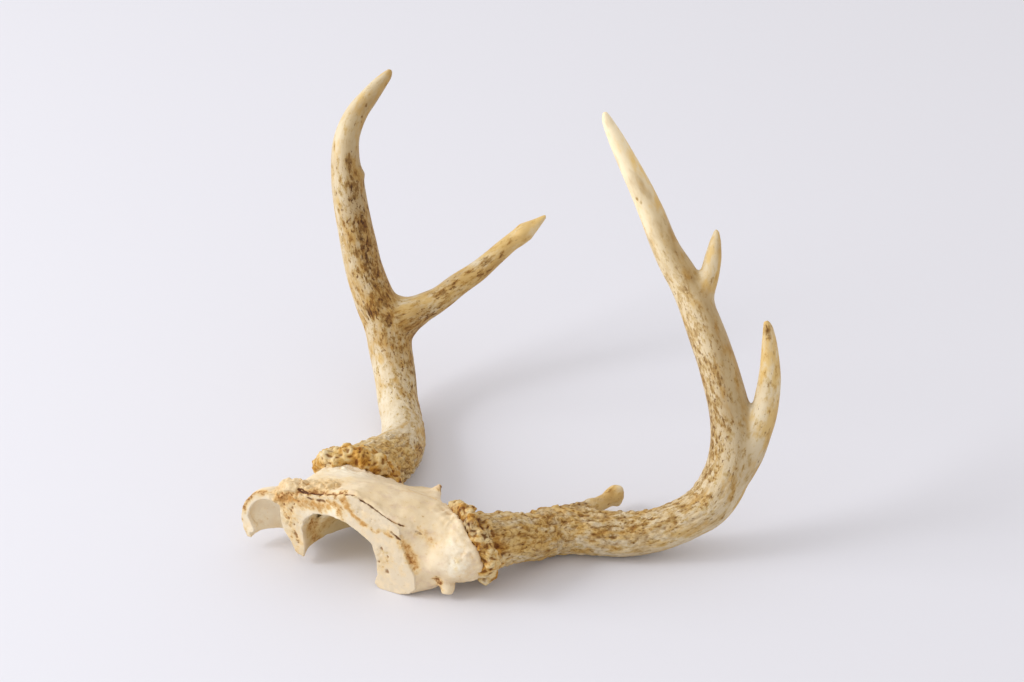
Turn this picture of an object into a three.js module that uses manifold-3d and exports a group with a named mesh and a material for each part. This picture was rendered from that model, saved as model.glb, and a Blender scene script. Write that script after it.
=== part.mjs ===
// Deer antler rack: a pair of forked antlers on the sawn plate of skull bone they grew from.
// It lies on the backs of both beams and on the lower corner of the sawn plate.
// Units are millimetres, +Z is up, and the origin is at the bottom centre of the bounding box.
import * as THREE from 'three';
import { mergeVertices } from 'three/addons/utils/BufferGeometryUtils.js';
import Module from 'manifold-3d';

const wasm = await Module();
wasm.setup();

// ---- driving dimensions ----
const GAP = 0.3;                      // clearance between neighbouring pieces
const CENTRE = [-1.82, 79.42];        // middle of the rack, seen from above
const FLOOR_CUT = 40;                 // depth of the block that flattens the resting spots
const SAW_ORIGIN = [-63.6, -49.1];    // foot of the sawn face, under its right leg
const SAW_ALONG = [0.88628, -0.46315]; // runs along the sawn face, towards the right antler
const SAW_BACK = [0.46315, 0.88628];  // square to the sawn face, towards the antlers
const BURR_RADIUS = 23.5;
const BURR_HEIGHT = 10;
const BURR_SIDES = 30;
const KNOB = 4.6;                     // how far the burr's knobs stand out
const PEDICLE_RADIUS = 20;

const BONE = new THREE.MeshStandardMaterial({ color: '#e6d6b4', roughness: 0.7, metalness: 0 });
const ROUGH = new THREE.MeshStandardMaterial({ color: '#a98d5c', roughness: 0.8, metalness: 0 });
const BEAM = new THREE.MeshStandardMaterial({ color: '#cdb78a', roughness: 0.6, metalness: 0 });
const TINE = new THREE.MeshStandardMaterial({ color: '#e2cfa0', roughness: 0.45, metalness: 0 });

// ---- centre lines: x, y, z and radius of the round section ----
const LEFT_BURR = { at: [-87, 19, 28], axis: [0.19, 0.81, 0.555] };
const RIGHT_BURR = { at: [-24.5, -40, 25.5], axis: [0.88, 0.42, 0.24] };

const LEFT_BEAM = [
  [-87, 18, 28, 16], [-81, 29, 27, 16.5], [-74, 43, 22, 16], [-67, 61, 16.5, 14.8], [-63, 80, 13.4, 13.4],
  [-64, 102, 13, 12.3], [-67, 121, 17, 12], [-69, 136, 25, 12.3], [-72, 147, 36, 13],
  [-75, 154, 49, 13.2], [-81, 159, 63, 12.5], [-87, 165, 81, 11.6], [-91, 170, 101, 11],
  [-94, 174, 118, 10.7], [-96, 177, 133, 10], [-97, 181, 146, 8.8], [-96, 187, 157, 7.6],
  [-91, 198, 167, 6.4], [-85, 205, 173, 5.6], [-79, 212, 178, 4.4], [-74, 217, 182, 2.7],
  [-72, 220, 184, 1.2],
];
const LEFT_TINE = [
  [-76, 152, 50, 7], [-70, 154, 52, 10.5], [-62, 156, 54.5, 11], [-53, 160, 57.5, 8.5],
  [-43, 164, 61.5, 7.1], [-33, 170, 67, 6.8], [-21, 176, 73, 6.3], [-11, 181, 80, 5.5],
  [-1, 186, 87, 5], [4, 188, 90, 5.3], [8, 189, 93, 5.8], [13, 190, 95, 4.1], [17, 193, 99, 2.3],
  [20, 194, 101, 0.8],
];
const RIGHT_BEAM = [
  [-24, -40, 25.5, 16], [-14, -36, 24.5, 15.5], [-3, -30, 22, 14.2], [9, -21, 17, 13.2],
  [21, -12, 13.5, 12.8], [34, -10, 13, 12.8], [48, -11, 12.8, 12.7], [62, -12, 12.6, 12.4],
  [73, -12, 14, 12], [84, -12, 17.5, 11.8], [96, -11, 23, 11.9], [106.5, -8, 29.5, 12.6],
  [114, -4, 41, 13.3], [119, 0, 56, 13.2], [119, 4, 73, 12.4], [116, 7, 87, 11.2],
  [109.5, 15, 108, 10.6], [102, 26, 125, 9.8], [95, 35, 139, 9], [83, 43, 158, 7.6],
  [74, 50, 178, 6.9], [64, 55, 199, 5.9], [55, 60, 216, 4.5], [50, 63, 226, 2.6], [49, 63, 230, 1],
];
const RIGHT_BROW = [
  [18, -14, 14, 9], [27, -6, 13.5, 8.4], [35, 2, 13, 6.5], [42, 12, 12.5, 5.2], [49, 21, 12, 4.6],
  [53, 26, 12.5, 5.4], [56, 29, 13.5, 5.6], [59, 31.5, 14.5, 4.2], [60.5, 32.5, 15, 2.6],
];
const RIGHT_SECOND = [
  [119, -1, 44, 10], [126, 0, 57, 10.4], [131, 1, 69, 9.6], [134.5, 1, 80, 8.7], [136.5, 2, 90, 7.8],
  [137.5, 3, 102, 6.5], [137, 4, 113, 4.9], [136, 6, 124, 3.7], [135, 7, 131, 2.3], [134, 8, 134, 1],
];
const RIGHT_THIRD = [
  [99, 28, 123, 7], [101.5, 31, 134, 7.2], [104, 34, 141, 6.3], [106, 37, 148, 5.3],
  [107.5, 40, 156, 4.3], [108.5, 43, 163, 3], [109, 45, 167, 1.8], [109, 46, 169, 0.8],
];
// the beams are split at their forks, counted along the points above
const LEFT_FORK = 9;
const RIGHT_LOWER_FORK = 13;
const RIGHT_UPPER_FORK = 17;

// ---- skull plate: sections square to the saw cut, each along and up, from the left foot over
// the forehead to the right foot, and back along the vault of the skull ----
const PLATE_SECTIONS = [
  { back: -0.5, ring: [[-55.5, 4.6], [-61.5, 8.5], [-65.5, 14.5], [-68.8, 24], [-69, 36], [-62, 45], [-50, 48],
    [-38, 50], [-25, 54.5], [-12, 52], [-4, 47.5], [4, 43], [4, 34], [8, 23], [12.6, 14], [13, 6],
    [9, 2], [0, -1], [-8, -1], [-12.3, 2.5], [-9.6, 9], [-10, 18], [-12.7, 27.5], [-20, 32.2],
    [-28, 36], [-38, 37.5], [-48, 35.5], [-53.8, 30.4], [-56.5, 22], [-54.2, 12]] },
  { back: 13, ring: [[-59, 3], [-64, 10], [-68, 18], [-70, 28], [-67, 39], [-60, 46], [-50, 49],
    [-38, 51], [-25, 53.5], [-11, 52], [0, 49.5], [12, 47], [23, 43], [30, 34], [32, 22], [29, 11],
    [21, 3], [11, 1.5], [2, 2], [-3, 5], [-6, 11], [-8, 19], [-12, 28], [-19, 33.5], [-28, 37],
    [-38, 38.5], [-47, 36], [-53, 30], [-56, 21], [-56, 12]] },
  { back: 28, ring: [[-59, 3], [-65, 10], [-69, 19], [-70, 29], [-66, 38], [-59, 44], [-49, 47],
    [-37, 48], [-24, 48.5], [-10, 48], [1, 47], [11, 45.5], [19, 43], [25, 38], [26, 29],
    [23, 21], [17, 15], [9, 15], [4, 18.5], [0, 23], [-4, 27.5], [-9, 31.5], [-15, 35], [-22, 37.5],
    [-29, 38.5], [-37, 38], [-45, 35], [-51, 29], [-54, 21], [-55, 12]] },
  { back: 43, ring: [[-58, 8], [-63, 13], [-66, 21], [-66, 29], [-62, 36], [-56, 40], [-47, 41.5],
    [-36, 40], [-26, 37.5], [-17, 36.5], [-8, 37], [-1, 37.5], [4, 37], [7, 35], [7, 32],
    [5, 29], [2, 28], [-1, 28], [-4.5, 28.2], [-8, 28.6], [-12, 29], [-16, 29.4], [-21, 30],
    [-26, 31], [-32, 31.6], [-38, 31.4], [-44, 29], [-49, 25], [-52, 19], [-54, 13]] },
  { back: 56, ring: [[-38, 20.4], [-39, 22.4], [-39, 24.4], [-37, 26.4], [-34, 27.9], [-30, 28.4],
    [-25, 29], [-20, 29.6], [-15, 30.2], [-10, 31], [-6, 31.8], [-2.5, 32.4], [-0.5, 31.8],
    [0, 30.4], [-0.5, 29], [-2, 27.8], [-4, 27], [-6, 26.6], [-8.5, 26.2], [-11, 25.8], [-13.5, 25.4],
    [-16, 25], [-18.5, 24.6], [-21, 24.2], [-24, 23.7], [-27, 23], [-30, 22.2], [-32.5, 21.4],
    [-34.5, 20.7], [-36.4, 20.2]] },
  { back: 62, ring: [[-22, 24], [-22.8, 24.8], [-22.6, 26], [-21.5, 27], [-20, 27.8], [-18, 28.4],
    [-16, 28.8], [-14, 29.2], [-12, 29.6], [-10, 30], [-8, 30.4], [-6, 30.8], [-4.6, 30.6],
    [-4, 29.8], [-4.2, 28.8], [-5, 27.9], [-6, 27.3], [-7.2, 26.9], [-8.4, 26.5], [-9.6, 26.2],
    [-10.8, 25.9], [-12, 25.6], [-13.4, 25.3], [-14.8, 25], [-16.2, 24.7], [-17.6, 24.4],
    [-18.8, 24], [-19.8, 23.7], [-20.6, 23.5], [-21.4, 23.5]] },
];
// eye socket roof on the left: a bowl that opens towards the saw cut
const SOCKET = { along: -75, back: 0, up: 19, radii: [20, 22, 22], wall: 2.6, lip: 6 };
// rough ridge of bone along the forehead, behind the saw cut: along, back, up and radius
const RIDGE = [
  [-71, 4, 38, 3.6], [-66, 4, 43.5, 5], [-61, 5, 46.5, 5.4], [-54, 7, 47, 5], [-47, 8, 48, 4.6],
  [-40, 9, 48.5, 3.4],
];
// hollow of the skull under the forehead, carved into the feet of the pedicles as well; a wall of
// bone closes it behind its mouth, down to a lip just off the table
const VAULT = { middle: [-33, 4, 4], radii: [22, 36, 32], wall: 4, mouth: 10, lip: 6.5 };
// small peg of bone left under the right antler: along, back, up and radius
const PEG = [[25, 13, 18, 6], [26, 11, 11, 5], [27.5, 10, 6, 4], [28, 9, 1.5, 3.6]];
const CRACK = [
  [-58, 1, 49.5, 1.2], [-48, 2, 49.5, 1.3], [-38, 3, 51.5, 1.3], [-25, 4, 55, 1.3],
  [-12, 5, 53.5, 1.3], [0, 6, 49.2, 1.2], [10, 7, 45, 1],
];

// ---- helpers ----
// smooth lattice noise, about -1 to 1
function hash(i, j, k) {
  const n = Math.sin(i * 127.1 + j * 311.7 + k * 74.7) * 43758.5453;
  return 2 * (n - Math.floor(n)) - 1;
}

function noise(x, y, z) {
  const base = [Math.floor(x), Math.floor(y), Math.floor(z)];
  const f = [x - base[0], y - base[1], z - base[2]].map((v) => v * v * (3 - 2 * v));
  let sum = 0;
  for (let c = 0; c < 8; c += 1) {
    const d = [c & 1, (c >> 1) & 1, c >> 2];
    const weight = d.reduce((w, on, axis) => w * (on ? f[axis] : 1 - f[axis]), 1);
    sum += weight * hash(base[0] + d[0], base[1] + d[1], base[2] + d[2]);
  }
  return sum;
}

// rings of equal length, skinned into one closed body; an end is filled by triangles of its ring
function skin(rings, endFaces) {
  const count = rings[0].length;
  const positions = rings.flat().flatMap((p) => [p.x, p.y, p.z]);
  const faces = [];
  for (let i = 0; i < rings.length - 1; i += 1) {
    for (let j = 0; j < count; j += 1) {
      const a = i * count + j;
      const b = i * count + ((j + 1) % count);
      faces.push(a, b, b + count, a, b + count, a + count);
    }
  }
  const lastRing = (rings.length - 1) * count;
  endFaces(0, count).forEach(([a, b, c]) => faces.push(a, b, c));
  endFaces(1, count).forEach(([a, b, c]) => faces.push(a + lastRing, c + lastRing, b + lastRing));
  const geometry = new THREE.BufferGeometry();
  geometry.setAttribute('position', new THREE.Float32BufferAttribute(positions, 3));
  geometry.setIndex(faces);
  return geometry;
}

// a round end is filled in strips across the ring
function roundEnd(end, count) {
  const strips = [];
  for (let low = 0, high = count - 1; high - low > 1;) {
    strips.push([high, low + 1, low]);
    low += 1;
    if (high - low > 1) {
      strips.push([high, high - 1, low]);
      high -= 1;
    }
  }
  return strips;
}

// a round limb along a smooth centre line, from one point of its list to another
function limb(points, { from = 0, to = points.length - 1, steps, sides, grow = 0, rough = () => 0,
  trimStart = 0, trimEnd = 0 }) {
  const curve = new THREE.CatmullRomCurve3(
    points.map((p) => new THREE.Vector3(p[0], p[1], p[2])), false, 'centripetal');
  curve.arcLengthDivisions = 800;
  const lengths = curve.getLengths(800);
  const total = lengths[800];
  const place = (index) => lengths[Math.round((index / (points.length - 1)) * 800)] / total;
  const first = place(from) + trimStart / total;
  const last = place(to) - trimEnd / total;
  const frames = curve.computeFrenetFrames(400, false);
  const rings = [];
  for (let i = 0; i <= steps; i += 1) {
    const u = THREE.MathUtils.clamp(first + (last - first) * (i / steps), 0, 1);
    const t = curve.getUtoTmapping(u) * (points.length - 1);
    const low = Math.min(Math.floor(t), points.length - 2);
    const blend = t - low;
    const radius = points[low][3] * (1 - blend) + points[low + 1][3] * blend;
    const centre = curve.getPointAt(u);
    const frame = Math.round(u * 400);
    const ring = [];
    for (let j = 0; j < sides; j += 1) {
      const angle = (2 * Math.PI * j) / sides;
      const out = frames.normals[frame].clone().multiplyScalar(Math.cos(angle))
        .addScaledVector(frames.binormals[frame], Math.sin(angle));
      const skinPoint = centre.clone().addScaledVector(out, radius);
      const lump = rough(skinPoint, t, angle);
      ring.push(centre.clone().addScaledVector(out, Math.max(radius + lump + grow, 0.3)));
    }
    rings.push(ring);
  }
  return skin(rings, roundEnd);
}

// the knobbed collar where an antler leaves its pedicle
function burr({ at, axis }, grow = 0) {
  const up = new THREE.Vector3(...axis).normalize();
  const side = new THREE.Vector3(0, 0, 1).cross(up).normalize();
  const rise = up.clone().cross(side);
  const profile = [[0, 0.9], [0.14, 1], [0.5, 1], [0.8, 0.9], [1, 0.68]];
  const rings = profile.map(([height, width], level) => {
    const ring = [];
    for (let j = 0; j < BURR_SIDES; j += 1) {
      const angle = (2 * Math.PI * j) / BURR_SIDES;
      const knob = KNOB * noise(Math.cos(angle) * 3.4 + at[0], Math.sin(angle) * 3.4 + at[1], level * 0.35);
      const radius = BURR_RADIUS * width + knob * (level === 0 ? 0.4 : 1) + grow;
      ring.push(new THREE.Vector3(...at)
        .addScaledVector(up, height * BURR_HEIGHT + (height - 0.5) * 2 * grow)
        .addScaledVector(side, Math.cos(angle) * radius)
        .addScaledVector(rise, Math.sin(angle) * radius));
    }
    return ring;
  });
  return skin(rings, roundEnd);
}

// along, back and up from the sawn face, in the rack's own frame
function fromSaw([along, back, up]) {
  return [
    SAW_ORIGIN[0] + along * SAW_ALONG[0] + back * SAW_BACK[0],
    SAW_ORIGIN[1] + along * SAW_ALONG[1] + back * SAW_BACK[1],
    up,
  ];
}

function solid(geometry) {
  const shared = geometry.clone();
  shared.deleteAttribute('normal');
  shared.deleteAttribute('uv');
  const merged = mergeVertices(shared, 1e-4);
  return new wasm.Manifold(new wasm.Mesh({
    numProp: 3,
    vertProperties: new Float32Array(merged.attributes.position.array),
    triVerts: new Uint32Array(merged.index.array),
  }));
}

function largest(body) {
  return body.decompose().sort((a, b) => b.volume() - a.volume())[0];
}

function shell(body) {
  const mesh = body.getMesh();
  const geometry = new THREE.BufferGeometry();
  geometry.setAttribute('position', new THREE.BufferAttribute(new Float32Array(mesh.vertProperties), 3));
  geometry.setIndex(Array.from(mesh.triVerts));
  const flat = geometry.toNonIndexed();
  flat.computeVertexNormals();
  return flat;
}

// a block given by its middle and size in the frame of the sawn face
function sawBlock(middle, size) {
  const block = new THREE.BoxGeometry(...size);
  block.rotateZ(Math.atan2(SAW_ALONG[1], SAW_ALONG[0]));
  block.translate(...fromSaw(middle));
  return solid(block);
}

const floor = new THREE.BoxGeometry(600, 600, FLOOR_CUT);
floor.translate(0, 0, -FLOOR_CUT / 2);
const floorBlock = solid(floor);

// ---- surface of the antlers ----
// pearling: close-set lumps, strongest by the burr and fading along the beam
function pearled(strength, fadeFrom, fadeTo) {
  return (p, t, angle) => {
    const fade = THREE.MathUtils.clamp((fadeTo - t) / (fadeTo - fadeFrom), 0.12, 1);
    const lumps = noise(p.x / 5.5, p.y / 5.5, p.z / 5.5);
    const gutters = 0.35 * Math.sin(angle * 7 + 2 * noise(p.x / 30, p.y / 30, p.z / 30));
    return strength * fade * (lumps + gutters);
  };
}

const leftRough = pearled(2.1, 3, 8);
const rightRough = pearled(1.8, 5, 11);

// ---- antlers ----
function beamPart(points, from, to, options) {
  return {
    body: (grow) => solid(limb(points, {
      from, to, grow, ...options, trimStart: (options.trimStart || 0) - (grow ? GAP : 0),
      trimEnd: (options.trimEnd || 0) - (grow ? GAP : 0),
    })),
  };
}

const leftLower = beamPart(LEFT_BEAM, 0, LEFT_FORK, { steps: 25, sides: 20, rough: leftRough });
const leftUpper = beamPart(LEFT_BEAM, LEFT_FORK, LEFT_BEAM.length - 1,
  { steps: 17, sides: 14, rough: leftRough, trimStart: GAP });
const rightLower = beamPart(RIGHT_BEAM, 0, RIGHT_LOWER_FORK, { steps: 30, sides: 20, rough: rightRough });
const rightMiddle = beamPart(RIGHT_BEAM, RIGHT_LOWER_FORK, RIGHT_UPPER_FORK,
  { steps: 9, sides: 16, rough: rightRough, trimStart: GAP });
const rightUpper = beamPart(RIGHT_BEAM, RIGHT_UPPER_FORK, RIGHT_BEAM.length - 1,
  { steps: 13, sides: 14, rough: rightRough, trimStart: GAP });

function lowerBeam(part, collar, pedicleSide) {
  return (grow) => {
    const joined = part.body(grow).add(solid(burr(collar, grow)));
    return joined.subtract(pedicleSide(grow)).subtract(floorBlock);
  };
}

// everything on the skull's side of a burr's seat
function behindSeat({ at, axis }) {
  return (grow) => {
    const up = new THREE.Vector3(...axis).normalize();
    const block = new THREE.BoxGeometry(90, 90, 40);
    block.lookAt(up);
    const reach = 20 + grow;
    block.translate(at[0] - up.x * reach, at[1] - up.y * reach, at[2] - up.z * reach);
    return solid(block);
  };
}

const leftLowerSolid = lowerBeam(leftLower, LEFT_BURR, behindSeat(LEFT_BURR));
const rightLowerSolid = lowerBeam(rightLower, RIGHT_BURR, behindSeat(RIGHT_BURR));

function tine(points, options, neighbours) {
  let body = solid(limb(points, options));
  neighbours.forEach((neighbour) => {
    body = body.subtract(neighbour);
  });
  return largest(body);
}

const leftTine = tine(LEFT_TINE, { steps: 17, sides: 11 }, [leftLower.body(GAP), leftUpper.body(GAP)]);
const rightBrow = tine(RIGHT_BROW, { steps: 11, sides: 12 }, [rightLower.body(GAP)]);
const rightSecond = tine(RIGHT_SECOND, { steps: 11, sides: 11 },
  [rightLower.body(GAP), rightMiddle.body(GAP)]);
const rightThird = tine(RIGHT_THIRD, { steps: 9, sides: 12 },
  [rightMiddle.body(GAP), rightUpper.body(GAP)]);

// ---- skull plate ----
function plateSkin(perSpan) {
  const rings = [];
  const last = PLATE_SECTIONS.length - 1;
  const pick = (index, j, axis) => PLATE_SECTIONS[Math.min(Math.max(index, 0), last)].ring[j][axis];
  const spline = (a, b, c, d, t) => b + 0.5 * t * (c - a + t * (2 * a - 5 * b + 4 * c - d
    + t * (3 * (b - c) + d - a)));
  for (let i = 0; i < last; i += 1) {
    for (let step = 0; step < perSpan || (i === last - 1 && step === perSpan); step += 1) {
      const t = step / perSpan;
      const back = THREE.MathUtils.lerp(PLATE_SECTIONS[i].back, PLATE_SECTIONS[i + 1].back, t);
      rings.push(PLATE_SECTIONS[0].ring.map((_, j) => {
        const [along, up] = [0, 1].map((axis) => spline(
          pick(i - 1, j, axis), pick(i, j, axis), pick(i + 1, j, axis), pick(i + 2, j, axis), t));
        return new THREE.Vector3(...fromSaw([along, back, up]));
      }));
    }
  }
  return rings;
}

// the plate's sections aren't round, so their ends are filled as outlines
function plateBody() {
  const ends = [PLATE_SECTIONS[0], PLATE_SECTIONS[PLATE_SECTIONS.length - 1]];
  const outlineEnd = (end) => THREE.ShapeUtils.triangulateShape(
    ends[end].ring.map(([along, up]) => new THREE.Vector2(along, up)), []);
  return solid(skin(plateSkin(3), outlineEnd));
}

function ball([along, back, up], radii, detail = 1) {
  const sphere = new THREE.IcosahedronGeometry(1, detail);
  sphere.scale(...radii);
  sphere.rotateZ(Math.atan2(SAW_ALONG[1], SAW_ALONG[0]));
  sphere.translate(...fromSaw([along, back, up]));
  return solid(sphere);
}

function pedicle({ at, axis }, length) {
  const up = new THREE.Vector3(...axis).normalize();
  const base = new THREE.Vector3(...at).addScaledVector(up, -GAP);
  const stations = [[length, 0.32], [length * 0.7, 0.66], [length * 0.4, 0.88], [length * 0.15, 0.96], [0, 1]];
  return solid(limb(stations.map(([down, width]) => {
    const p = base.clone().addScaledVector(up, -down);
    return [p.x, p.y, p.z, PEDICLE_RADIUS * width];
  }), { steps: 6, sides: 20 }));
}

// the back wall of the hollow, behind its mouth and above its lip
function vaultWall() {
  const { middle, radii, wall, mouth, lip } = VAULT;
  const outside = ball(middle, radii.map((r) => r + wall), 3);
  return outside
    .subtract(sawBlock([middle[0], mouth - 60, 0], [120, 120, 120]))
    .subtract(sawBlock([middle[0], 0, lip - 60], [120, 160, 120]));
}

function skullPlate() {
  const socketAt = [SOCKET.along, SOCKET.back, SOCKET.up];
  const inner = SOCKET.radii.map((r) => r - SOCKET.wall);
  let bowl = ball(socketAt, SOCKET.radii, 3);
  bowl = bowl.subtract(sawBlock([SOCKET.along + 20, 0, SOCKET.lip - 30], [58, 80, 60]));
  bowl = bowl.subtract(sawBlock([SOCKET.along, 0, -23], [80, 80, 60]));
  let plate = plateBody().add(bowl);
  plate = plate.add(pedicle(LEFT_BURR, 28)).add(pedicle(RIGHT_BURR, 25)).add(vaultWall());
  plate = plate.subtract(ball(socketAt, inner, 3)).subtract(ball(VAULT.middle, VAULT.radii, 3));
  plate = plate.add(solid(limb(RIDGE.map((p) => [...fromSaw(p), p[3]]), { steps: 11, sides: 8,
    rough: (p) => 2 * noise(p.x / 4, p.y / 4, p.z / 4) })));
  plate = plate.add(solid(limb(PEG.map((p) => [...fromSaw(p), p[3]]), { steps: 6, sides: 10 })));
  plate = plate.subtract(solid(limb(CRACK.map((p) => [...fromSaw(p), p[3]]), { steps: 14, sides: 6 })));
  plate = plate.subtract(sawBlock([-30, -40, 30], [260, 80, 200])).subtract(floorBlock);
  plate = plate.subtract(leftLowerSolid(GAP)).subtract(rightLowerSolid(GAP));
  return largest(plate);
}

// ---- assembly ----
const rack = new THREE.Group();
const pieces = [
  ['skull_plate', skullPlate(), BONE],
  ['left_lower_beam', largest(leftLowerSolid(0)), ROUGH],
  ['left_upper_beam', leftUpper.body(0), BEAM],
  ['left_tine', leftTine, TINE],
  ['right_lower_beam', largest(rightLowerSolid(0)), ROUGH],
  ['right_brow_tine', rightBrow, TINE],
  ['right_middle_beam', rightMiddle.body(0), BEAM],
  ['right_second_tine', rightSecond, TINE],
  ['right_upper_beam', rightUpper.body(0), BEAM],
  ['right_third_tine', rightThird, TINE],
];
pieces.forEach(([name, body, material]) => {
  const mesh = new THREE.Mesh(shell(body), material);
  mesh.name = name;
  mesh.position.set(-CENTRE[0], -CENTRE[1], 0);
  rack.add(mesh);
});

export default rack;
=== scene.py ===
"""A pair of deer antlers on the sawn plate of skull they grew from, lying on a pale table.

Each antler is built up as a modeller would: a tube for the beam and one for every tine, a ring of
knobs for the burr, all fused by a remesh and then worked over for pearling, gutters and forks. The
skull bone starts from the plate's own solid and gets its cracks, pits and rough bone the same way.
Sizes are in millimetres in the rack's own frame until they go into a mesh.
"""
import itertools
import math

import bpy
import numpy as np
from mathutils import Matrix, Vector


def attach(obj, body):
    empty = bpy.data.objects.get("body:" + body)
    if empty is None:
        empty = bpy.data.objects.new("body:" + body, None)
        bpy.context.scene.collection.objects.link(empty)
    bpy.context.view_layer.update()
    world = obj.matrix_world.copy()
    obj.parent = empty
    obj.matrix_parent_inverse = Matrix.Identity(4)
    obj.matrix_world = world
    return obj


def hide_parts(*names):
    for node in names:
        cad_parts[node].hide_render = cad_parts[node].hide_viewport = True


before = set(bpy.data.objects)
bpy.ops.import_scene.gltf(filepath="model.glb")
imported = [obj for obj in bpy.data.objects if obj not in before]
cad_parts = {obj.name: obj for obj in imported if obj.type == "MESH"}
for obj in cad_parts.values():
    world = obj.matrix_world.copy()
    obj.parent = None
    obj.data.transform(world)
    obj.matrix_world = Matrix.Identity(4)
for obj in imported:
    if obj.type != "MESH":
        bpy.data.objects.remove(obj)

bl_info = {
    "name": "Deer Antler Rack",
    "version": (1, 0, 0),
    "blender": (4, 5, 0),
    "location": "View3D > Sidebar > Antlers",
    "description": "Models a pair of deer antlers on their skull plate",
    "category": "Object",
}

MM = 0.001
CENTRE = np.array((-1.82, 79.42, 0.0))     # middle of the rack, seen from above
SAW_FOOT = np.array((-63.6, -49.1, 0.0))   # foot of the sawn face
SAW_ALONG = np.array((0.88628, -0.46315, 0.0))
SAW_BACK = np.array((0.46315, 0.88628, 0.0))

# ---- the antlers: x, y, z and radius along each limb ----
LEFT_BEAM = [
    (-87, 18, 28, 16), (-81, 29, 27, 16.5), (-74, 43, 22, 16), (-67, 61, 16.5, 14.8),
    (-63, 80, 13.4, 13.4), (-64, 102, 13, 12.3), (-67, 121, 17, 12), (-69, 136, 25, 12.3),
    (-72, 147, 36, 13), (-75, 154, 49, 13.2), (-81, 159, 63, 12.5), (-87.4, 165, 81, 11.2),
    (-91.4, 170, 101, 10.5), (-94.4, 174, 118, 10.1), (-96.2, 177, 133, 9.6),
    (-97.3, 181, 146, 8.3), (-96.2, 187, 157, 7.3), (-90.7, 198, 167, 6.4), (-84.6, 205, 173, 5.6),
    (-78.6, 212, 178.2, 4.5), (-73.6, 217, 182.3, 3.2), (-71.6, 220, 184.4, 1.7),
]
LEFT_TINE = [
    (-76, 152, 50, 7), (-70, 154, 52, 10.5), (-62, 156, 54.5, 11), (-53, 160, 57.5, 8.5),
    (-43, 164, 61.5, 7.1), (-33, 170, 67, 6.8), (-21, 176, 73, 6.3), (-11, 181, 80, 5.5),
    (-1, 186, 87, 5), (4, 188, 90, 5.3), (8, 189, 93.2, 5.6), (12, 190.5, 95.8, 4),
    (16, 192, 98.5, 2.4), (20, 194, 101.2, 0.8),
]
RIGHT_BEAM = [
    (-24, -40, 25.5, 16), (-14, -36, 24.5, 15.5), (-3, -30, 22, 14.2), (9, -21, 17, 13.2),
    (21, -12, 13.5, 12.8), (34, -10, 13, 12.8), (48, -11, 12.8, 12.7), (62, -12, 12.6, 12.4),
    (73, -12, 14, 12), (84, -12, 17.5, 11.8), (96, -11, 23, 11.9), (106.5, -8, 29.5, 12.6),
    (114.4, -4, 41, 12.9), (119, 0, 56, 12.7), (118.6, 4, 73, 12), (115.2, 7, 87, 11),
    (108.8, 15, 108, 10.2), (101.6, 26, 125, 9.7), (95, 35, 139, 9), (83, 43, 158, 7.6),
    (74, 50, 178, 6.9), (64, 55, 199, 5.9), (55, 60, 216, 4.5), (50, 63, 226, 2.8),
    (49, 63, 230, 1.2),
]
RIGHT_BROW = [
    (14, -14, 15, 9.5), (24, -6, 15.5, 8.6), (33, 2, 14.2, 6.8), (41, 12, 12.4, 5.2),
    (48, 19.5, 11, 4.2), (52.5, 24.3, 10.4, 4.2), (55.5, 27.2, 10.8, 5.2), (58.3, 29.6, 11.4, 5.4),
    (60.4, 31, 11.8, 4.4),
]
RIGHT_SECOND = [
    (119, -1, 44, 10), (126.4, 0, 57, 9.6), (131, 1, 69, 8.4), (134.3, 1, 80, 7.4),
    (136, 2, 90, 6.8), (137, 3, 102, 6.1), (136.8, 4, 113, 4.9), (136, 6, 124, 3.8),
    (135, 7, 131.2, 2.7), (134, 8, 134.6, 1.4),
]
RIGHT_THIRD = [
    (99, 28, 123, 6.5), (101, 31, 134, 6.2), (103.6, 34, 141, 5.6), (105.8, 37, 148, 5),
    (107.5, 40, 156, 4.3), (108.5, 43, 163, 3), (109, 45, 167, 1.8), (109, 46, 169, 0.9),
]
LEFT_BURR = {"at": (-87, 19, 28), "axis": (0.19, 0.81, 0.555), "seed": 5,
             "count": 24, "ring": 18.8, "thickness": 5.2}
RIGHT_BURR = {"at": (-24.5, -40, 25.5), "axis": (0.88, 0.42, 0.24), "seed": 11,
              "count": 16, "ring": 18.0, "thickness": 5.0}

# how the finish changes along a limb: millimetres from its root, then the share of each. The shade
# share is painted shade on the side turned away from the lamps. The side says which way round the
# limb the soil and pearls lie thickest, as x, y and z.
LEFT_FINISH = {
    "pearls": [(0, 1), (37, 1), (48, 0.4), (80, 0.2), (150, 0.05), (185, 0)],
    "gutters": [(0, 0.2), (60, 0.35), (150, 0.4), (240, 0.2), (290, 0)],
    "soil": [(0, 0.35), (36, 0.32), (50, 0.28), (95, 0.42), (135, 0.5), (215, 0.46), (262, 0.34),
             (285, 0.08)],
    "ivory": [(0, 0), (235, 0), (272, 0.12), (300, 0.18)],
    "chalk": [(0, 0.2), (40, 0.3), (56, 0.95), (105, 0.9), (140, 0.6), (220, 0.7), (250, 0.3),
              (290, 0)],
    "gold": [(0, 0.7), (36, 0.5), (56, 0), (110, 0.05), (140, 0.4), (190, 0.5), (235, 0.2), (300, 0.2),
             (325, 0.8)],
    "shade": [(0, 0.1), (60, 0.2), (150, 0.4), (260, 0.8), (330, 0.7)],
    "side": [(0, 0.3, -0.2, -0.3), (50, 0.7, -0.2, -0.2), (120, 0.6, -0.2, 0), (170, 0.3, -0.7, 0),
             (260, 0.35, -0.6, 0), (320, 0.6, -0.2, -0.3)],
}
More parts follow.
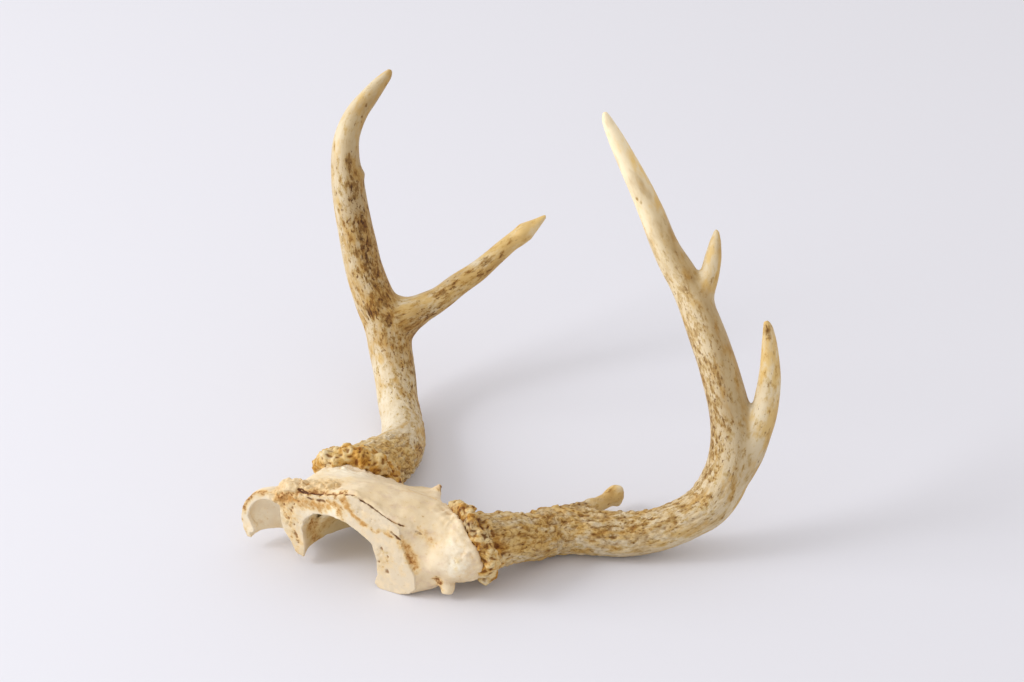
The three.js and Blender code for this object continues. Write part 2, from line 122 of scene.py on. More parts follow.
LEFT_TINE_FINISH = {
    "pearls": [(0, 0)], "gutters": [(0, 0.3), (60, 0.3), (100, 0.1)],
    "soil": [(0, 0.5), (30, 0.45), (70, 0.4), (95, 0.25), (112, 0.15)],
    "ivory": [(0, 0), (40, 0.15), (85, 0.3), (110, 0.5)], "chalk": [(0, 0.3), (70, 0.2), (90, 0)],
    "gold": [(0, 0.5), (30, 0.7), (80, 0.9), (115, 1)], "shade": [(0, 0.2)],
    "side": [(0, 0, -0.5, -0.4), (80, 0, -0.4, -0.3)],
}
RIGHT_FINISH = {
    "pearls": [(0, 1), (30, 0.9), (70, 0.85), (105, 0.6), (140, 0.3), (170, 0.05), (185, 0)],
    "gutters": [(0, 0.3), (60, 0.8), (150, 0.9), (190, 0.3), (330, 0.1), (360, 0)],
    "soil": [(0, 0.45), (70, 0.42), (165, 0.42), (240, 0.6), (290, 0.5), (325, 0.14), (345, 0.03)],
    "ivory": [(0, 0), (200, 0.1), (250, 0.35), (290, 0.6), (325, 0.95), (345, 1)],
    "chalk": [(0, 0.2), (110, 0.35), (160, 0.8), (230, 0.6), (290, 0.1)],
    "gold": [(0, 0.6), (90, 0.5), (130, 0.3), (170, 0.05), (260, 0), (380, 0.2), (430, 1)],
    "shade": [(0, 0.1), (150, 0.2), (195, 0.9), (300, 1), (345, 0.3), (380, 0)],
    "side": [(0, 0, 0, 0.2), (70, 0, 0, 0.35), (110, -0.1, 0, 0.7), (170, -0.6, 0, 0.6),
             (210, -0.9, 0, 0.1), (300, -0.6, 0, 0), (420, 0, 0, 0)],
}
RIGHT_BROW_FINISH = {
    "pearls": [(0, 0.8), (30, 0.6), (42, 0.3), (52, 0)], "gutters": [(0, 0.4), (50, 0.1)],
    "soil": [(0, 0.7), (30, 0.6), (44, 0.3), (52, 0.4), (60, 0.2)],
    "ivory": [(0, 0), (30, 0.1), (60, 0.4)], "chalk": [(0, 0), (30, 0.5), (45, 0.4), (55, 0)],
    "gold": [(0, 0.6), (40, 0.3), (52, 1), (64, 0.8)], "shade": [(0, 0.2)],
    "side": [(0, 0, 0, 0.4), (40, 0, 0, 0.4), (55, 0, 0, 0)],
}
RIGHT_SECOND_FINISH = {
    "pearls": [(0, 0)], "gutters": [(0, 0.2), (60, 0.1)],
    "soil": [(0, 0.3), (40, 0.28), (80, 0.3), (100, 0.4)], "ivory": [(0, 0.1), (40, 0.3), (90, 0.4)],
    "chalk": [(0, 0.4), (40, 0.2), (60, 0)], "gold": [(0, 0.2), (60, 0.6), (95, 0.9)],
    "side": [(0, 0.6, 0, 0), (60, 0.5, -0.2, 0), (95, 0, -0.3, 0)],
    "shade": [(0, 0.6), (50, 0.1)],
}
RIGHT_THIRD_FINISH = {
    "pearls": [(0, 0)], "gutters": [(0, 0.1)], "soil": [(0, 0.3), (30, 0.2), (50, 0.12)],
    "ivory": [(0, 0.1), (30, 0.3)], "chalk": [(0, 0)], "gold": [(0, 0.3), (50, 0.7)],
    "side": [(0, 0.4, 0, 0)], "shade": [(0, 0.6), (30, 0.1)],
}
SHARES = ("pearls", "gutters", "soil", "ivory", "chalk", "gold", "shade")
# single lumps on the antlers: x, y, z, how far they spread and how far they stand out
LEFT_LUMPS = [(-86.8, 176, 138, 3.4, 1.6), (5, 184, 95, 3, 0.9)]
RIGHT_LUMPS = [(62.6, 30, 15.8, 2.4, 2.4), (59, 27, 6.4, 2.4, 1.6), (54, 22, 15.5, 2.6, 0.9)]
# dark patches rubbed into the antlers: x, y, z, length along the grain, width, strength
LEFT_PATCHES = [
    (-94.6, 171.7, 145.8, 7, 3.4, 0.4), (-94.6, 171.7, 145.8, 2.2, 1.5, 0.8),
    (-93.6, 167.3, 133.8, 9, 4, 0.4), (-93.6, 167.3, 134.5, 3.2, 1.6, 0.75),
    (-92.6, 165.4, 128, 3.6, 1.8, 0.8), (-87.6, 163, 112.5, 10, 5, 0.5),
    (-86.5, 163, 112, 5, 3.4, 0.75), (-86, 159.2, 100, 12, 5, 0.4),
    (-91.3, 157.6, 96.2, 2.6, 2, 0.6), (-85.6, 156.6, 92.1, 6, 3, 0.55),
    (-81, 154.4, 82, 10, 5, 0.5), (-83.6, 146.6, 62.1, 4, 2, 0.85), (-72.4, 144.8, 58.3, 4, 3, 0.8),
    (-76, 148, 70, 12, 5, 0.4), (-87.5, 191.5, 167.3, 1.1, 0.8, 1),
    (-88, 189.8, 164.9, 1.1, 0.8, 0.9), (-85.3, 197, 172.4, 1.2, 1, 0.6),
    (-74.1, 212.4, 179.5, 1.2, 1, 0.8), (-40.8, 160.1, 67.4, 5, 2.4, 0.85),
    (-36.1, 163.6, 70.2, 6, 2.6, 0.65), (-26.1, 169.9, 75.5, 3.5, 2, 0.7),
    (-16, 175, 80.9, 5, 2.2, 0.7), (-6.5, 178, 84, 3, 1.6, 0.7), (-1.2, 181.9, 90, 2, 1.4, 0.7),
    (-18.4, 170.5, 73.9, 3, 1.6, 0.6), (-48.5, 153.2, 57, 8, 2.6, 0.6),
    (4.8, 187.7, 96.3, 4, 1.4, 0.6), (-82, 19, 50, 14, 6, 0.3), (-54, 62, 24, 9, 9, 0.35),
    (-59.5, 108.5, 24.7, 16, 4, 0.35),
]
RIGHT_PATCHES = [
    (106.5, -3, 92, 18, 2.6, 0.5), (107, -2, 66, 12, 3, 0.5), (104, -8, 46, 12, 3.4, 0.5),
    (125, -9, 60, 14, 5, 0.3), (66, -18, 24, 18, 4, 0.35), (134, 4, 131, 4, 2.6, 1),
    (-18, -46, 42, 8, 6, 0.5), (-22, -51, 43, 5, 5, 0.9), (-18, -46, 45, 5, 5, 0.8),
    (-15, -50, 37, 7, 6, 0.7), (55, 26, 15, 3, 3, 0.7), (66.3, 47.1, 186.8, 1.3, 0.9, 0.9),
    (68.4, 45.8, 185.1, 1.1, 0.8, 0.8), (81.3, 44, 175.2, 3.5, 1.4, 0.45),
    (83.7, 32.9, 146.8, 3, 1, 0.6), (92.6, 27.6, 143.1, 4, 1.2, 0.6),
    (101.2, 27.5, 141.2, 3, 1.2, 0.5), (109.4, 2.8, 106.4, 10, 2, 0.35),
]

# ---- the skull bone: places along, back and up from the sawn face ----
CRACKS = [
    {"line": [(-57, 1.2, 47.6), (-49.5, 0.8, 47.4), (-40.6, 1.6, 49.6), (-31.9, 1.7, 52.1),
              (-23.4, 2, 54.2), (-13.9, 0.3, 52.4), (-6.6, 0, 48.5), (1.9, 0.9, 45), (7.5, 3.4, 42.6)],
     "width": 0.62, "depth": 1.5},
    {"line": [(11.5, 5.4, 39.6), (17.6, 7.4, 36.6)], "width": 0.5, "depth": 0.9},
    {"line": [(0, 0, 38.2), (3.2, 0, 36.5), (6.6, 0.8, 34.2)], "width": 0.6, "depth": 1.2},
    {"line": [(-56, 1, 45.5), (-49, 0, 44.5), (-41, 0, 46)], "width": 0.9, "depth": 0.8},
]
# small round holes in the sawn face: along, back, up and radius
PITS = [
    (-61, 0, 35.5, 1.1), (-60.4, 0, 38, 0.8), (-63.5, 1, 23, 1.3), (-62.6, 1, 20, 1),
    (-6.6, 0, 26.2, 1.2), (-2.8, 0, 22.3, 1), (-3.6, 0, 12.5, 1.6), (-8, 0, 17.5, 0.8),
    (-66, 2, 31, 0.8), (-57, 0, 41, 0.7), (-61, 0, 24.5, 0.8), (-60.2, 0, 19, 1.3),
    (-59.4, 0, 17.4, 1), (-58.4, 0, 13.6, 0.9), (-63.8, 0, 28, 0.7), (-62.5, 0, 33, 0.9),
    (-66.4, 0, 36, 0.8),
]
# struts of bone fused to the plate: along, back, up and radius. The prong stands between the eye
# socket and the vault, and the rim runs round the sawn edge of the socket to its hooked end.
PRONG = [(-62.5, 3, 38, 7), (-63.2, 3, 28, 6.6), (-62.5, 3, 22, 6.4), (-60.4, 3, 16.5, 5.2),
         (-58.4, 2.6, 10.5, 4), (-57, 2.4, 6.4, 3)]
RIM = [(-87.8, 2.6, 11.4, 2.7), (-89.8, 2.4, 14, 3.3), (-91.4, 2, 17.4, 3), (-92.4, 1.6, 21, 2.5),
       (-91, 1.6, 26.5, 2.4), (-88, 1.6, 31.8, 2.4), (-83.6, 1.6, 35.8, 2.5), (-78, 1.6, 38, 2.7),
       (-70, 1.6, 38.4, 3)]
# lumps of bone along the ridge and on the wing: along, back, up and radius
CRUMBS = [(-71.8, 4.5, 41.4, 2.6), (-70, 5, 44, 2.4), (-68, 5, 46, 2.5), (-66.4, 6, 47.8, 2),
          (-64.4, 4.6, 46.6, 2.4), (-62, 4, 45.4, 2.4), (-60.5, 3.4, 44.6, 2.4), (-55.5, 4, 46.2, 2.2),
          (-50, 7, 48.6, 2.4), (-45, 7.5, 49.4, 2.4), (-41, 8, 50.4, 2.2), (-5.2, 56, 32, 2.4),
          (-3, 57, 33.4, 2.3)]
# places pressed in again: along, back, up, reach and depth
DENTS = [(-58.5, 5, 52, 5, 3.4), (-52, 8, 52, 5, 1.8), (30, 18, 30, 8, 1.2), (14, 18, 43, 8, 1),
         (8, 38, 40, 8, 1.2)]
# stains in the bone: a line along, back and up, its width, and how rusty and how dark it is
BONE_STAINS = [
    ([(-70, 0, 38), (-62, 0, 40), (-56, 0, 40), (-50, 0, 41), (-44, 0, 42), (-39, 0, 43),
      (-34, 0, 45.5)], 3.6, 0.8, 0),
    ([(-38, 0, 45.5), (-34, 0, 46), (-31.5, 0, 45), (-31, 0, 40)], 2.8, 1, 0.35),
    ([(-28, 0, 51), (-27, 0, 50), (-26, 0, 47), (-24, 0, 43)], 2.2, 1, 0.25),
    ([(-24, 0, 43), (-20, 0, 40), (-14, 0, 38)], 1.6, 0.95, 0.1),
    ([(-14, 0, 38), (-9, 0, 37), (-4, 0, 37), (2, 0, 36.6)], 1.4, 0.75, 0.3),
    ([(4, 0.5, 35), (8, 1, 31), (10.5, 1.5, 26), (13, 2, 20)], 3.0, 0.8, 0.3),
    ([(-66, 1, 42), (-58, 1, 46.5), (-49.5, 1, 48), (-40, 1.5, 49.6), (-31, 1.7, 52)], 2.2, 0.75, 0.5),
    ([(-95, 0, 23), (-92.4, 0, 30), (-87, 0, 36.4), (-80.4, 0, 40), (-74, 0, 41), (-67, 0, 40)],
     2.2, 0.8, 0.4),
    ([(-92, 1, 9), (-94.6, 1, 14), (-95.5, 1, 20)], 1.6, 0.6, 0.25),
    ([(-95, 1, 17), (-94, 2, 13)], 1.2, 0.8, 0.5),
    ([(-69, 0, 37), (-66, 0, 31), (-64, 0, 25)], 3.2, 0.55, 0.22),
    ([(-61, 0, 20), (-58, 0, 13)], 1.8, 0.6, 0.3), ([(-65, 1, 36), (-64, 1, 28)], 6.0, 0.5, 0.15),
    ([(-63, 2, 22), (-59, 2, 8), (-56, 2, 1)], 4.5, 0.45, 0.12),
    ([(22.5, 6, 13.5), (24.5, 6.5, 11)], 2.2, 0.8, 0.6),
    ([(24.2, 8, 8), (24.6, 8, 3)], 2.0, 0.9, 0.4), ([(-3, 57.5, 32), (-2.5, 58, 33)], 2.4, 1, 0.9),
    ([(-47, 12, 48), (-38, 16, 49)], 6.0, 0.3, 0), ([(-6, 30, 47), (4, 40, 39)], 6.0, 0.35, 0),
    ([(14, 7, 38), (20, 8, 33)], 3.5, 0.45, 0.05),
    ([(20, 14, 36), (30, 14, 30), (36, 12, 20)], 6.0, 0.3, 0),
    ([(-92, 6, 8), (-90, 4, 4)], 3.5, 0.5, 0.2), ([(-8, 0, 14), (-4, 0, 22)], 4.0, 0.3, 0.05),
    ([(-60, 20, 40), (-52, 26, 36)], 7.0, 0.35, 0),
    ([(-56, 8, 24), (-54, 10, 11), (-53, 12, 4)], 5.0, 0.7, 0.25),
    ([(-50, 14, 20), (-40, 20, 20)], 6.0, 0.5, 0.1),
]
# pale chalky bone, partly painted light (the patches in the eye socket and on top of the skull stand
# in for light), and bone with its pores open: along, back, up and reach
PALE_AND_LIT_BONE = [
    (-52, 6, 29, 6), (-80, 12, 24, 13), (-76, 20, 22, 15), (-88, 10, 15, 9), (-72, 17, 12, 9),
    (-50, 8, 32, 8), (34, 8, 24, 7), (-35, 1, 41, 6), (32, 11, 31, 6), (-45, 33, 46, 14),
]
SPONGY = [
    (-20, 0, 47, 4.5), (-11, 0, 44, 4), (-2, 0, 39, 3.5), (4.6, 1, 34, 4), (9, 2, 27, 4.5),
    (12, 3, 20, 3), (35, 6, 26, 5), (-4, 0, 24, 5), (-62, 2, 30, 8), (-56, 2, 44, 7),
    (-44, 3, 47, 5), (30, 12, 10, 5),
]
# the broken ridge on the forehead: a line along, back and up
ROUGH_RIDGE = [(-70, 4, 39), (-66, 4, 43), (-58, 6, 46.5), (-50, 7, 47.5), (-42, 9, 48.5)]

LEFT_ANTLER = {
    "name": "left_antler", "burr": LEFT_BURR, "webs": [8], "patches": LEFT_PATCHES, "lumps": LEFT_LUMPS,
    "limbs": [(LEFT_BEAM, LEFT_FINISH), (LEFT_TINE, LEFT_TINE_FINISH)], "voxel": 0.62,
}
RIGHT_ANTLER = {
    "name": "right_antler", "burr": RIGHT_BURR, "webs": [7, 4, 3.5], "patches": RIGHT_PATCHES,
    "lumps": RIGHT_LUMPS, "voxel": 0.72,
    "limbs": [(RIGHT_BEAM, RIGHT_FINISH), (RIGHT_BROW, RIGHT_BROW_FINISH),
              (RIGHT_SECOND, RIGHT_SECOND_FINISH), (RIGHT_THIRD, RIGHT_THIRD_FINISH)],
}
SKULL_VOXEL = 0.58
MOST_TRIANGLES = 196000
VAULT_MIDDLE = -33     # along the saw cut, where the arch of the skull is highest
FAR = 1e3


# ---- repeatable noise ----
def scatter(cell, seed):
    """A repeatable number from 0 to 1 for each whole-numbered cell."""
    c = cell.astype(np.int64).astype(np.uint32)
    n = (c[..., 0] * np.uint32(73856093)) ^ (c[..., 1] * np.uint32(19349663))
    n = n ^ (c[..., 2] * np.uint32(83492791)) ^ np.uint32((seed * 2654435761) % 4294967296)
    n = (n ^ (n >> np.uint32(13))) * np.uint32(1274126177)
    n = n ^ (n >> np.uint32(16))
    return (n & np.uint32(0xFFFF)) / 65535.0


def noise(places, seed):
    """Smooth noise, about -1 to 1, one bump a unit."""
    base = np.floor(places)
    part = places - base
    part = part * part * (3 - 2 * part)
    total = np.zeros(len(places))
    for corner in range(8):
        step = np.array((corner & 1, (corner >> 1) & 1, corner >> 2))
        weight = np.prod(np.where(step, part, 1 - part), axis=1)
        total += weight * scatter(base + step, seed)
    return 2 * total - 1


def layered(places, layers, seed):
    """Noise with finer noise on it."""
    total = sum(noise(places * 2 ** i, seed + i) / 2 ** i for i in range(layers))
    return total / (2 - 2 ** (1 - layers))


def cells(places, seed):
    """Distance to the nearest scattered point, and that point's own number from 0 to 1."""
    base = np.floor(places)
    nearest = np.full(len(places), 9.0)
    own = np.zeros(len(places))
    for shift in itertools.product((-1, 0, 1), repeat=3):
        cell = base + shift
        spot = cell + np.stack([scatter(cell, seed + 71 * n) for n in (1, 2, 3)], axis=1)
        away = np.linalg.norm(places - spot, axis=1)
        closer = away < nearest
        nearest = np.where(closer, away, nearest)
        own = np.where(closer, scatter(cell, seed + 400), own)
    return nearest, own


def ease(value, low, high):
    """0 below low, 1 above high, and a smooth turn between."""
    t = np.clip((value - low) / (high - low), 0, 1)
    return t * t * (3 - 2 * t)


def share_along(pairs, distance):
    return np.interp(distance, *zip(*pairs))


def unit(vector):
    vector = np.array(vector, float)
    return vector / np.linalg.norm(vector)


def shake(places, seed):
    """Noise of its own in each of the three directions."""
    return np.stack([noise(places, seed + i) for i in range(3)], axis=1)


def near(places, spot, reach):
    """1 at the spot, fading to nothing beyond its reach."""
    return np.exp(-(np.linalg.norm(places - spot, axis=1) / reach) ** 2)


def near_any(places, spots):
    """The same for the nearest of many spots, each a place and its reach."""
    return np.max([near(places, spot[:3], spot[3]) for spot in spots], axis=0)


# ---- limbs ----
class Limb:
    """A smooth centre line with its radius, and the frame that is carried along it."""

    def __init__(self, points, finish=None, samples=12):
        points = np.array(points, float)
        self.finish = finish
        ends = np.vstack([2 * points[0] - points[1], points, 2 * points[-1] - points[-2]])
        rows = []
        for a, b, c, d in zip(ends, ends[1:], ends[2:], ends[3:]):
            gap = [max(np.linalg.norm(q[:3] - p[:3]) ** 0.5, 1e-6) for p, q in ((a, b), (b, c), (c, d))]
            out = ((b - a) / gap[0] - (c - a) / (gap[0] + gap[1]) + (c - b) / gap[1]) * gap[1]
            into = ((c - b) / gap[1] - (d - b) / (gap[1] + gap[2]) + (d - c) / gap[2]) * gap[1]
            for i in range(samples):
                t = i / samples
                row = (b + out * t + (3 * (c - b) - 2 * out - into) * t ** 2
                       + (2 * (b - c) + out + into) * t ** 3)
                row[3] = b[3] * (1 - t) + c[3] * t
                rows.append(row)
        rows.append(points[-1])
        rows = np.array(rows)
        self.line, self.radius = rows[:, :3], rows[:, 3]
        steps = np.linalg.norm(np.diff(self.line, axis=0), axis=1)
        self.along = np.concatenate([[0], np.cumsum(steps)])
        tangent = np.gradient(self.line, axis=0)
        self.tangent = tangent / np.linalg.norm(tangent, axis=1)[:, None]
        side = np.cross(self.tangent[0], (0.3, 0.2, 0.9))
        sides = []
        for direction in self.tangent:
            side = unit(side - direction * np.dot(side, direction))
            sides.append(side)
        self.side = np.array(sides)
        self.over = np.cross(self.tangent, self.side)

    def locate(self, places):
        """Distance along, height above the round skin, the way out, and the straightened place."""
        nearest = np.concatenate([
            np.argmin(((part[:, None, :] - self.line[None]) ** 2).sum(2), axis=1)
            for part in np.array_split(places, max(len(places) // 8000, 1))])
        offset = places - self.line[nearest]
        ahead = (offset * self.tangent[nearest]).sum(1)
        # round the ends the offset still points past the last sample, so it is kept there
        inner = (nearest > 0) & (nearest < len(self.line) - 1)
        offset = offset - self.tangent[nearest] * np.where(inner, ahead, 0)[:, None]
        away = np.linalg.norm(offset, axis=1)
        out = offset / np.maximum(away, 1e-6)[:, None]
        radius = self.radius[nearest]
        across = (out * self.side[nearest]).sum(1) * radius
        over = (out * self.over[nearest]).sum(1) * radius
        distance = self.along[nearest] + ahead
        return distance, away - radius, out, np.stack([across, over, distance], axis=1)


def deselect():
    if bpy.context.object and bpy.context.object.mode != "OBJECT":
        bpy.ops.object.mode_set(mode="OBJECT")
    bpy.ops.object.select_all(action="DESELECT")


def tube(limb):
    """A limb as a round tube: a path with its own radius at each point, made a mesh."""
    deselect()
    bpy.ops.curve.primitive_nurbs_path_add()
    path = bpy.context.object
    path.data.splines.clear()
    spline = path.data.splines.new("POLY")
    spline.points.add(len(limb.line) - 1)
    places = (limb.line - CENTRE) * MM
    spline.points.foreach_set("co", np.column_stack([places, np.ones(len(places))]).ravel())
    spline.points.foreach_set("radius", limb.radius)
    path.data.bevel_depth = MM
    path.data.bevel_resolution = 10
    path.data.use_fill_caps = True
    path.data.twist_mode = "MINIMUM"
    bpy.ops.object.convert(target="MESH")
    return bpy.context.object


def knob(place, radius):
    """One lump of antler or bone: a ball, fused into the rest later."""
    bpy.ops.mesh.primitive_ico_sphere_add(
        subdivisions=3, radius=radius * MM, location=(np.array(place) - CENTRE) * MM)
    return bpy.context.object


def collar_ring(middle, turn, ring, thickness, around):
    bpy.ops.mesh.primitive_torus_add(
        major_radius=ring * MM, minor_radius=thickness * MM, major_segments=48, minor_segments=around,
        location=(middle - CENTRE) * MM, rotation=turn)
    return bpy.context.object


def burr(spec):
    """The knobbed collar of an antler: a ring with uneven knobs round it and over both its sides."""
    deselect()
    axis = unit(spec["axis"])
    side = unit(np.cross((0, 0, 1), axis))
    over = np.cross(axis, side)
    ring = spec["ring"]
    middle = np.array(spec["at"], float) + axis * 4.5
    turn = Vector(axis).to_track_quat("Z", "Y").to_euler()
    # a thinner ring under the collar closes it on to the bone
    pieces = [collar_ring(middle, turn, ring, spec["thickness"], 16),
              collar_ring(middle - axis * 4.6, turn, ring - 3.2, 3.4, 12)]

    def outward(angle):
        return side * math.cos(angle) + over * math.sin(angle)

    chance = np.random.RandomState(spec["seed"])
    for i in range(spec["count"]):
        angle = 2 * math.pi * (i + chance.uniform(-0.3, 0.3)) / spec["count"]
        size = chance.uniform(3.2, 5.6)
        reach = ring + chance.uniform(0.5, 3.4)
        pieces.append(knob(middle + outward(angle) * reach + axis * chance.uniform(-3.4, 2.2), size))
        if chance.uniform() > 0.35:
            out = outward(angle + chance.uniform(0.1, 0.3))
            pieces.append(knob(middle + out * (ring - 1.5) + axis * chance.uniform(4, 7), size * 0.8))
    return pieces


def fuse(pieces, name, voxel):
    """Joins the pieces and remeshes them into one skin."""
    deselect()
    for piece in pieces:
        piece.select_set(True)
    bpy.context.view_layer.objects.active = pieces[0]
    if len(pieces) > 1:
        bpy.ops.object.join()
    made = bpy.context.object
    made.name = name
    made.data.name = name
    bpy.ops.object.transform_apply(location=True, rotation=True, scale=True)
    bpy.ops.object.modifier_add(type="REMESH")
    remesh = made.modifiers[-1]
    remesh.mode = "VOXEL"
    remesh.voxel_size = voxel * MM
    remesh.use_smooth_shade = True
    bpy.ops.object.modifier_apply(modifier=remesh.name)
    return made


def thin(made):
    """Collapses the flattest faces of a finished skin that has too many of them."""
    made.data.calc_loop_triangles()
    share = MOST_TRIANGLES / len(made.data.loop_triangles)
    if share < 1:
        bpy.ops.object.modifier_add(type="DECIMATE")
        decimate = made.modifiers[-1]
        decimate.ratio = share
        bpy.ops.object.modifier_apply(modifier=decimate.name)


# ---- working the skin ----
class Skin:
    """The points of a mesh in millimetres, moved about in code and then put back."""

    def __init__(self, made):
        self.mesh = made.data
        count = len(self.mesh.vertices)
        flat = np.empty(count * 3)
        self.mesh.vertices.foreach_get("co", flat)
        self.places = flat.reshape(-1, 3) / MM + CENTRE
        edges = np.empty(len(self.mesh.edges) * 2, np.int32)
        self.mesh.edges.foreach_get("vertices", edges)
        self.edges = edges.reshape(-1, 2)
        self.links = np.bincount(edges, minlength=count)

    def neighbours(self, values):
        """The mean of each point's neighbours."""
        a, b = self.edges.T
        count = len(self.links)
        total = np.bincount(a, values[b], count) + np.bincount(b, values[a], count)
        return total / np.maximum(self.links, 1)

    def blur(self, values, times):
        for _ in range(times):
            values = 0.5 * values + 0.5 * self.neighbours(values)
        return values

    def pull(self):
        """The way from each point to the middle of its neighbours."""
        return np.stack([self.neighbours(self.places[:, i]) for i in range(3)], axis=1) - self.places

    def relax(self, times, amount):
        """Smooths the skin, by an amount from 0 to 1 at each point."""
        for _ in range(times):
            self.places += self.pull() * np.reshape(amount, (-1, 1))

    def fill(self, times, amount):
        """Fills valleys and leaves ridges as they are."""
        for step in range(times):
            if step % 12 == 0:
                out = self.normals()
            rise = np.maximum((self.pull() * out).sum(1), 0)
            self.places += out * (rise * amount)[:, None]

    def normals(self):
        self.put_back()
        flat = np.empty(len(self.places) * 3)
        self.mesh.vertex_normals.foreach_get("vector", flat)
        return flat.reshape(-1, 3)

    def put_back(self):
        self.mesh.vertices.foreach_set("co", ((self.places - CENTRE) * MM).ravel())
        self.mesh.update()

    def lift(self, height):
        self.places += self.normals() * height[:, None]

    def rest_on_table(self):
        self.places[:, 2] = np.maximum(self.places[:, 2], 0)

    def keep(self, **shares):
        """Stores shares from 0 to 1, or places, at each point for the material."""
        for name, values in shares.items():
            kind, field = ("FLOAT_VECTOR", "vector") if values.ndim == 2 else ("FLOAT", "value")
            if field == "value":
                values = np.clip(values, 0, 1)
            store = self.mesh.attributes.new(name, kind, "POINT")
            store.data.foreach_set(field, values.astype(np.float32).ravel())


def web_forks(skin, limbs, widths):
    """Fills the crotch of each fork to a smooth web, and says how near each point is to one."""
    near_fork = np.zeros(len(skin.places))
    beam = limbs[0]
    _, beam_height, beam_out, _ = beam.locate(skin.places)
    lift = np.zeros_like(skin.places)
    for tine, width in zip(limbs[1:], widths):
        distance, height, out, _ = tine.locate(skin.places)
        gap, begun = np.abs(beam_height - height), ease(distance, -4, 6)
        close = np.clip(1 - gap / width, 0, 1) * begun * (distance < tine.along[-1] * 0.7)
        way = beam_out + out
        length = np.linalg.norm(way, axis=1)
        way = way / np.maximum(length, 1e-6)[:, None]
        amount = width / 4 * close ** 2 / np.maximum(length / 2, 0.55)
        lift += way * amount[:, None]
        near_fork = np.maximum(near_fork, np.clip(1 - gap / (1.6 * width), 0, 1) * begun)
    skin.places += lift
    return near_fork


def sided(limb, at, out):
    """How much of the soil lies on this side of the limb; 1 is the same all round."""
    stops = limb.finish["side"]
    way = np.stack([share_along([(stop[0], stop[i]) for stop in stops], at) for i in (1, 2, 3)], axis=1)
    return np.clip(1 + (out * way).sum(1), 0.1, 1.8)


def lay_out(limbs, places):
    """The place of each point on the grain of the beam and of its nearest tine, how far it belongs to
    the tine, the way out of the limb, and its share of each finish."""
    beam = limbs[0]
    beam_at, beam_height, beam_out, beam_grain = beam.locate(places)
    values = {key: share_along(beam.finish[key], beam_at) for key in SHARES}
    values["side"] = sided(beam, beam_at, beam_out)
    best = np.full(len(places), FAR)
    tine_grain, tine_out = np.zeros_like(places), np.zeros_like(places)
    tine_values = {key: np.zeros(len(places)) for key in values}
    for number, tine in enumerate(limbs[1:], 1):
        at, height, out, grain = tine.locate(places)
        nearer = height < best
        best = np.where(nearer, height, best)
        # each tine's grain is moved far along, so that no two have the same pattern
        tine_grain = np.where(nearer[:, None], grain + (0, 0, 900 * number), tine_grain)
        tine_out = np.where(nearer[:, None], out, tine_out)
        for key in SHARES:
            tine_values[key] = np.where(nearer, share_along(tine.finish[key], at), tine_values[key])
        tine_values["side"] = np.where(nearer, sided(tine, at, out), tine_values["side"])
    on_tine = ease(beam_height - best, -3.5, 3.5)
    for key in values:
        values[key] = values[key] * (1 - on_tine) + tine_values[key] * on_tine
    out = beam_out * (1 - on_tine)[:, None] + tine_out * on_tine[:, None]
    return beam_grain, tine_grain, on_tine, out, values


def close_to_burr(places, collar):
    axis = unit(collar["axis"])
    offset = places - collar["at"]
    return (ease(-np.abs(offset @ axis - 4), -13, -8)
            * ease(-np.linalg.norm(offset - axis * 4, axis=1), -34, -28))


def antler_relief(places, grains, on_tine, gutters, pearls, burr_share, shape):
    """How high lumps, pearls and lengthwise gutters stand, and the share of the finest of it."""
    def both(pattern):
        """A pattern on the beam's grain, turning to the same on the tine's."""
        return pattern(grains[0]) * (1 - on_tine) + pattern(grains[1]) * on_tine

    swell = both(lambda g: layered(g / (17, 17, 30), 2, 3))
    lump = both(lambda g: layered(g / (5.5, 5.5, 8), 2, 8))
    flutes = both(lambda g: noise(g / (6.5, 6.5, 60), 17))
    gutter = both(lambda g: 1 - 2 * np.abs(layered(g / (3.1, 3.1, 26), 2, 14)))
    worm = 1 - 2.4 * np.abs(layered(places / 5.0, 2, 51))
    bead, bead_size = cells(grains[0] / (2.9, 2.9, 4.8) + 0.3 * noise(places / 3.0, 23)[:, None], 21)
    bead_high = np.clip(1.15 - (bead / 0.52) ** 2, 0, 1) * (0.25 + 0.95 * bead_size)
    seed_bead, seed_size = cells(places / 2.6, 33)
    seed_high = np.clip(1 - (seed_bead / 0.62) ** 2, 0, 1) * (0.2 + 0.8 * seed_size)

    height = 0.5 * swell + 0.32 * gutters * flutes
    height += shape.gutter_depth * gutters * (gutter - 0.55)
    rough = 0.5 * lump + (0.85 * bead_high + 0.35 * seed_high) * (1 - 0.5 * burr_share) - 0.4
    height += shape.pearl_height * np.clip(pearls, 0, 1.2) * rough
    height += burr_share * (worm + 0.3 * bead_high + 0.8 * noise(places / 3.4, 41) - 0.35)
    fine = pearls * (0.5 * seed_high + 0.7 * bead_high) + 0.4 * burr_share * worm
    return height, fine


def rubbed_in(places, limbs, patches):
    """How dark each point is from the patches, which run along the grain of their own limb."""
    dark = np.zeros(len(places))
    for x, y, z, length, width, strength in patches:
        centre = np.array((x, y, z), float)
        away = [np.linalg.norm(limb.line - centre, axis=1) for limb in limbs]
        own = min(range(len(limbs)), key=lambda i: np.min(away[i] / limbs[i].radius))
        offset = places - centre
        ahead = offset @ limbs[own].tangent[np.argmin(away[own])]
        aside = np.sqrt(np.maximum((offset ** 2).sum(1) - ahead ** 2, 0))
        dark = np.maximum(dark, strength * np.exp(-(ahead / length) ** 2 - (aside / width) ** 2))
    return dark


